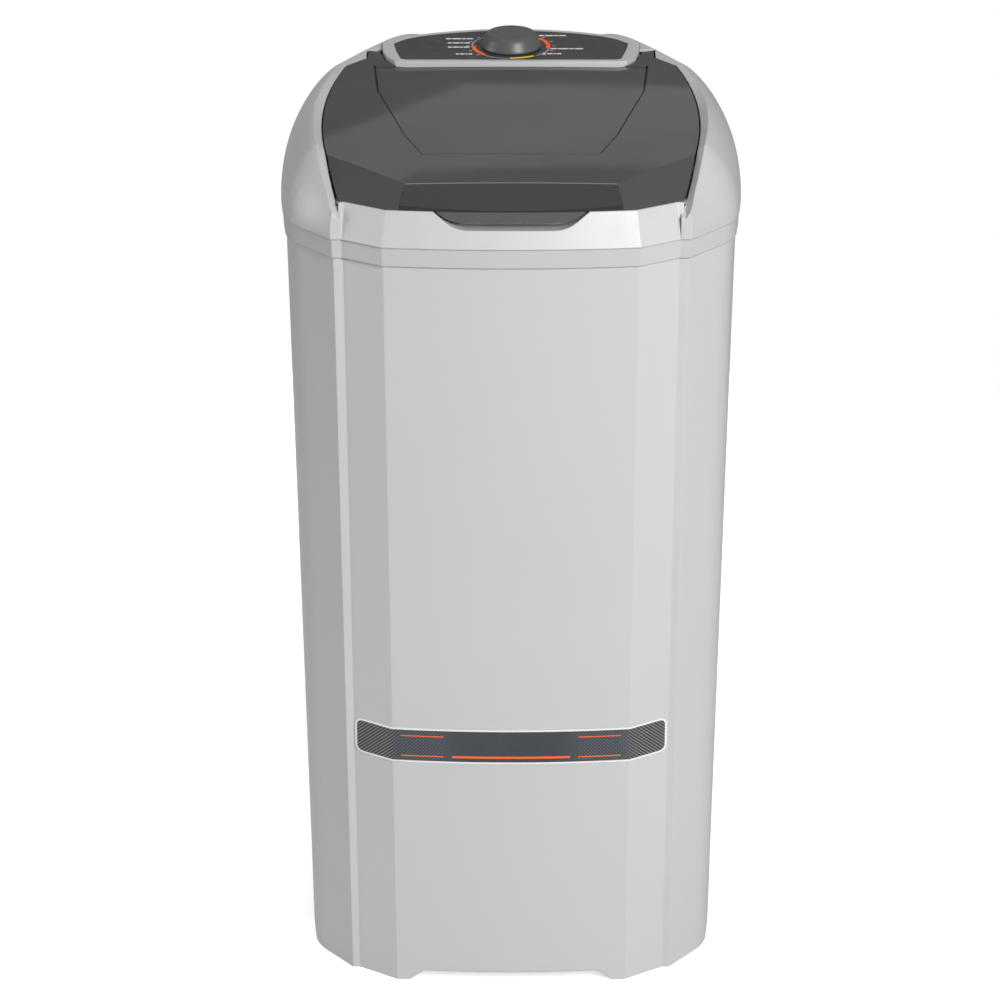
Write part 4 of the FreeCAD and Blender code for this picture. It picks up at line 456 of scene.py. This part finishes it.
def overlay_film():
    """Dark printed film with fine slanted hatching."""
    shader = Shader("overlay_print")
    x, y, _ = shader.axes()
    slant = shader.number("SUBTRACT", x, shader.number("MULTIPLY", y, HATCH_LEAN))
    lines = shader.between(shader.wave("SINE", slant, HATCH_PITCH), low=-0.4, high=0.4)
    shader.paint(shader.mixed(lines, HATCH_DARK, HATCH_PALE))
    shader.gloss(low=0.30, high=0.42, scale=60.0)
    shader.bump(lines, strength=0.03, distance=0.0001)
    return shader.material


def strip_border(shader, across, z):
    """1 on the pale line along the strip's rounded outline, 0 inside it."""
    up = shader.number("ABSOLUTE", shader.number("SUBTRACT", z, STRIP_LOW + STRIP_HEIGHT / 2))
    out_x = shader.number("MAXIMUM", shader.number("SUBTRACT", across, STRIP_HALF - STRIP_CORNER), 0.0)
    out_z = shader.number("MAXIMUM", shader.number("SUBTRACT", up, STRIP_HEIGHT / 2 - STRIP_CORNER), 0.0)
    squares = shader.number("ADD", shader.number("POWER", out_x, 2.0), shader.number("POWER", out_z, 2.0))
    reach = shader.number("SQRT", squares)
    faint, full = BORDER_START
    return shader.between(reach, STRIP_CORNER - faint, STRIP_CORNER - full)


def strip_lines(shader, across, z):
    """1 on the strip's straight lines: a thick one in the middle and two thin ones on each side."""
    centre = shader.overlap(shader.near(z, LINE_LOW, *CENTRE_THICK), shader.near(across, 0.0, *CENTRE_LONG))
    thin = shader.number("ADD", shader.near(z, LINE_LOW, *SIDE_THICK), shader.near(z, LINE_HIGH, *SIDE_THICK))
    sides = shader.overlap(thin, shader.near(across, SIDE_MIDDLE, *SIDE_LONG))
    return shader.number("ADD", centre, sides)


def strip_film():
    """Dark slate film: pale line round its edge, slanted lines at the ends, dots further in, orange lines."""
    shader = Shader("strip_print")
    x, _, z = shader.axes()
    across = shader.number("ABSOLUTE", x)
    columns = shader.wave("COSINE", x, STRIP_PITCH)
    rows = shader.wave("COSINE", z, STRIP_PITCH)
    weave = shader.number("MULTIPLY", columns, rows)
    dots = shader.overlap(shader.between(weave, low=0.25, high=0.6), shader.between(across, *DOTS_START))
    ground = shader.mixed(dots, shader.mottled(SLATE, amount=0.08, scale=12.0), DOT_GREY)
    slant = shader.wave("SINE", shader.number("ADD", across, z), STRIP_PITCH)
    ends = shader.mixed(shader.between(slant, low=-0.3, high=0.5), END_DARK, END_PALE)
    film = shader.mixed(shader.between(across, *ENDS_START), ground, ends)
    lined = shader.mixed(strip_lines(shader, across, z), film, INKS["orange"])
    shader.paint(shader.mixed(strip_border(shader, across, z), lined, INKS["white"]))
    shader.gloss(low=0.25, high=0.36, scale=50.0)
    shader.bump(dots, strength=0.05, distance=0.0001)
    return shader.material


def printed(name, colour):
    """Screen-printed ink, a little uneven."""
    shader = Shader(name)
    shader.paint(shader.mottled(colour, amount=0.06, scale=300.0))
    shader.gloss(low=0.35, high=0.5, scale=200.0)
    shader.bump(shader.noise(scale=2400.0, detail=1.0), strength=0.03, distance=0.0001)
    shader.put(Specular_IOR_Level=0.2)
    return shader.material


def filter_net():
    """Fine woven net."""
    shader = Shader("filter_mesh")
    x, y, z = shader.axes()
    along = shader.wave("SINE", shader.number("ADD", x, y), NET_PITCH)
    up = shader.wave("SINE", z, NET_PITCH)
    threads = shader.between(shader.number("MAXIMUM", along, up), low=0.1, high=0.7)
    shader.paint(shader.mixed(threads, NET_GAP, NET_THREAD))
    shader.bump(threads, strength=0.4, distance=0.0004)
    shader.put(Roughness=0.7)
    return shader.material


def all_materials():
    """Material of each slot."""
    made = {"frame_silver": silver_paint(), "lid_smoke": smoked_lid(), "overlay_print": overlay_film(),
            "strip_print": strip_film(), "filter_mesh": filter_net()}
    for slot, look in MOULDED.items():
        made[slot] = moulded(slot, **look)
    for slot, look in METALS.items():
        made[slot] = metal(slot, **look)
    return made


MATERIALS = all_materials()


def add_piece(name, mesh, body, material, stands_for=None):
    """A piece of the object that rides on a body and may stand for a CAD node."""
    made = bpy.data.objects.new(name, mesh)
    scene.collection.objects.link(made)
    mesh.materials.append(material)
    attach(made, body)
    if stands_for:
        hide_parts(stands_for)


def smooth_copy(name, angle):
    """A welded copy of a CAD node with smooth shading up to an angle; it stands for the node."""
    source = frame["nodes"][name].data
    bm = bmesh.new()
    for vertex in source.vertices:
        bm.verts.new(vertex.co)
    bm.verts.ensure_lookup_table()
    for polygon in source.polygons:
        bm.faces.new([bm.verts[i] for i in polygon.vertices])
    bmesh.ops.remove_doubles(bm, verts=bm.verts, dist=WELD_DISTANCE)
    bmesh.ops.recalc_face_normals(bm, faces=bm.faces)
    mesh = bpy.data.meshes.new(name + "_shell")
    bm.to_mesh(mesh)
    bm.free()
    mesh.polygons.foreach_set("use_smooth", [True] * len(mesh.polygons))
    mesh.set_sharp_from_angle(angle=math.radians(angle))
    add_piece(name + "_shell", mesh, BODIES[name], MATERIALS[SLOTS[name]], name)


def on_panel(x, y):
    """Point of the print, x to the right and y up the slope from the dial's centre."""
    slope = Vector((0.0, math.cos(PANEL_TILT), math.sin(PANEL_TILT)))
    normal = Vector((0.0, -math.sin(PANEL_TILT), math.cos(PANEL_TILT)))
    return DIAL_CENTRE + Vector((x, 0.0, 0.0)) + slope * y + normal * PRINT_LIFT


def panel_print(name, points, faces, material):
    """Flat print on the panel from its corners, given as x and y from the dial's centre."""
    mesh = bpy.data.meshes.new(name)
    mesh.from_pydata([on_panel(x, y) for x, y in points], [], faces)
    add_piece(name, mesh, "housing", material)


def panel_arc(name, inner, start, end, material):
    """Printed arc round the dial, angles in degrees from the right, counted towards the rear."""
    points = []
    for i in range(ARC_STEPS + 1):
        angle = math.radians(start + (end - start) * i / ARC_STEPS)
        for radius in (inner, DIAL_RADIUS):
            points.append((radius * math.cos(angle), radius * math.sin(angle)))
    faces = [(a, a + 1, a + 3, a + 2) for a in range(0, 2 * ARC_STEPS, 2)]
    panel_print(name, points, faces, material)


def panel_bars(name, bars, material):
    """Printed bars on the panel, each (x, y, length, height, turn in degrees)."""
    points = []
    faces = []
    for x, y, length, height, turn in bars:
        cos = math.cos(math.radians(turn))
        sin = math.sin(math.radians(turn))
        first = len(points)
        for u, v in ((-length, -height), (length, -height), (length, height), (-length, height)):
            points.append((x + (u * cos - v * sin) / 2, y + (u * sin + v * cos) / 2))
        faces.append(tuple(range(first, len(points))))
    panel_print(name, points, faces, material)


def tick_bars():
    """Short radial bars round the dial."""
    bars = []
    for turn in TICK_TURNS:
        angle = math.radians(turn)
        x = TICK_RADIUS * math.cos(angle)
        y = TICK_RADIUS * math.sin(angle)
        bars.append((x, y, TICK_LENGTH, TICK_WIDTH, turn))
    return bars


def mark_bars():
    """Plain dashes in rows, where a panel has its settings printed."""
    bars = []
    for x, y, length in MARK_ROWS:
        start = x - length / 2
        for share in MARK_DASHES:
            bars.append((start + share * length / 2, y, share * length - MARK_GAP, MARK_HEIGHT, 0.0))
            start += share * length
    return bars


def dial_print():
    """Print round the timer knob: coloured arcs, thin lines, ticks and rows of dashes."""
    inks = {name: printed("print_" + name, colour) for name, colour in INKS.items()}
    for name, inner, start, end, ink in DIAL_ARCS:
        panel_arc(name, inner, start, end, inks[ink])
    panel_bars("dial_ticks", tick_bars(), inks["white"])
    panel_bars("dial_marks", mark_bars(), inks["white"])


def floor_paper():
    """Paper floor, lifted to white where the camera sees it lit."""
    shader = Shader("floor_white")
    shader.paint(shader.mottled(FLOOR_TONE, amount=0.01, scale=2.0))
    shader.put(Roughness=0.9, Specular_IOR_Level=0.1)
    glow = shader.node("ShaderNodeEmission")
    glow.inputs["Color"].default_value = WHITE
    rays = shader.node("ShaderNodeLightPath")
    shader.link(shader.number("MULTIPLY", rays.outputs["Is Camera Ray"], FLOOR_LIFT), glow.inputs["Strength"])
    both = shader.node("ShaderNodeAddShader")
    shader.link(shader.surface.outputs[0], both.inputs[0])
    shader.link(glow.outputs[0], both.inputs[1])
    shader.link(both.outputs[0], shader.output.inputs["Surface"])
    return shader.material


def studio_floor():
    """Round floor that takes the machine's shadow."""
    bm = bmesh.new()
    bmesh.ops.create_circle(bm, cap_ends=True, radius=FLOOR_RADIUS, segments=FLOOR_SIDES)
    mesh = bpy.data.meshes.new("floor")
    bm.to_mesh(mesh)
    bm.free()
    floor = bpy.data.objects.new("floor", mesh)
    scene.collection.objects.link(floor)
    mesh.materials.append(floor_paper())


def studio_room():
    """Plain room that lights the machine softly and is white to the camera."""
    world = bpy.data.worlds.new("studio")
    scene.world = world
    world.use_nodes = True
    nodes = world.node_tree.nodes
    links = world.node_tree.links
    nodes.clear()
    rays = nodes.new("ShaderNodeLightPath")
    both = nodes.new("ShaderNodeMixShader")
    out = nodes.new("ShaderNodeOutputWorld")
    links.new(rays.outputs["Is Camera Ray"], both.inputs[0])
    for socket, strength in ((both.inputs[1], ROOM_LIGHT), (both.inputs[2], 1.0)):
        room = nodes.new("ShaderNodeBackground")
        room.inputs["Color"].default_value = WHITE
        room.inputs["Strength"].default_value = strength
        links.new(room.outputs[0], socket)
    links.new(both.outputs[0], out.inputs[0])


def reflector_board():
    """Pale board behind the machine that shows only as a reflection on the lid and other glossy pieces."""
    mesh = bpy.data.meshes.new("reflector_board")
    mesh.from_pydata([(x, BOARD_Y, z) for x, z in BOARD_CORNERS], [], [tuple(range(len(BOARD_CORNERS)))])
    board = bpy.data.objects.new("reflector_board", mesh)
    scene.collection.objects.link(board)
    shader = Shader("board_white")
    glow = shader.node("ShaderNodeEmission")
    glow.inputs["Strength"].default_value = BOARD_GLOW
    shader.link(glow.outputs[0], shader.output.inputs["Surface"])
    mesh.materials.append(shader.material)
    board.visible_camera = False
    board.visible_diffuse = False
    board.visible_transmission = False
    board.visible_shadow = False


def aimed(made, place, aim):
    """Put a light or a camera at its place, turned to its aim."""
    made.location = place
    made.rotation_euler = (Vector(aim) - Vector(place)).to_track_quat("-Z", "Y").to_euler()
    scene.collection.objects.link(made)


def soft_box(name, place, aim, width, height, power, mirrored):
    """Area light; one that is not mirrored leaves no reflection on glossy pieces."""
    data = bpy.data.lights.new(name, "AREA")
    data.shape = "RECTANGLE"
    data.size = width
    data.size_y = height
    data.energy = power
    made = bpy.data.objects.new(name, data)
    made.visible_glossy = mirrored
    aimed(made, place, aim)


def photo_camera():
    """Camera with the photograph's view."""
    data = bpy.data.cameras.new("photo_camera")
    data.lens = CAMERA_LENS
    data.sensor_width = CAMERA_SENSOR
    data.shift_x = CAMERA_SHIFT_X
    made = bpy.data.objects.new("photo_camera", data)
    aimed(made, CAMERA_PLACE, CAMERA_AIM)
    scene.camera = made


for node_name, node_object in frame["nodes"].items():
    node_object.data.materials.clear()
    node_object.data.materials.append(MATERIALS[SLOTS[node_name]])
for shell, smooth_angle in SMOOTH_SHELLS.items():
    smooth_copy(shell, smooth_angle)
dial_print()
studio_floor()
studio_room()
for box in SOFT_BOXES:
    soft_box(*box)
reflector_board()
photo_camera()
scene.view_settings.view_transform = "Standard"
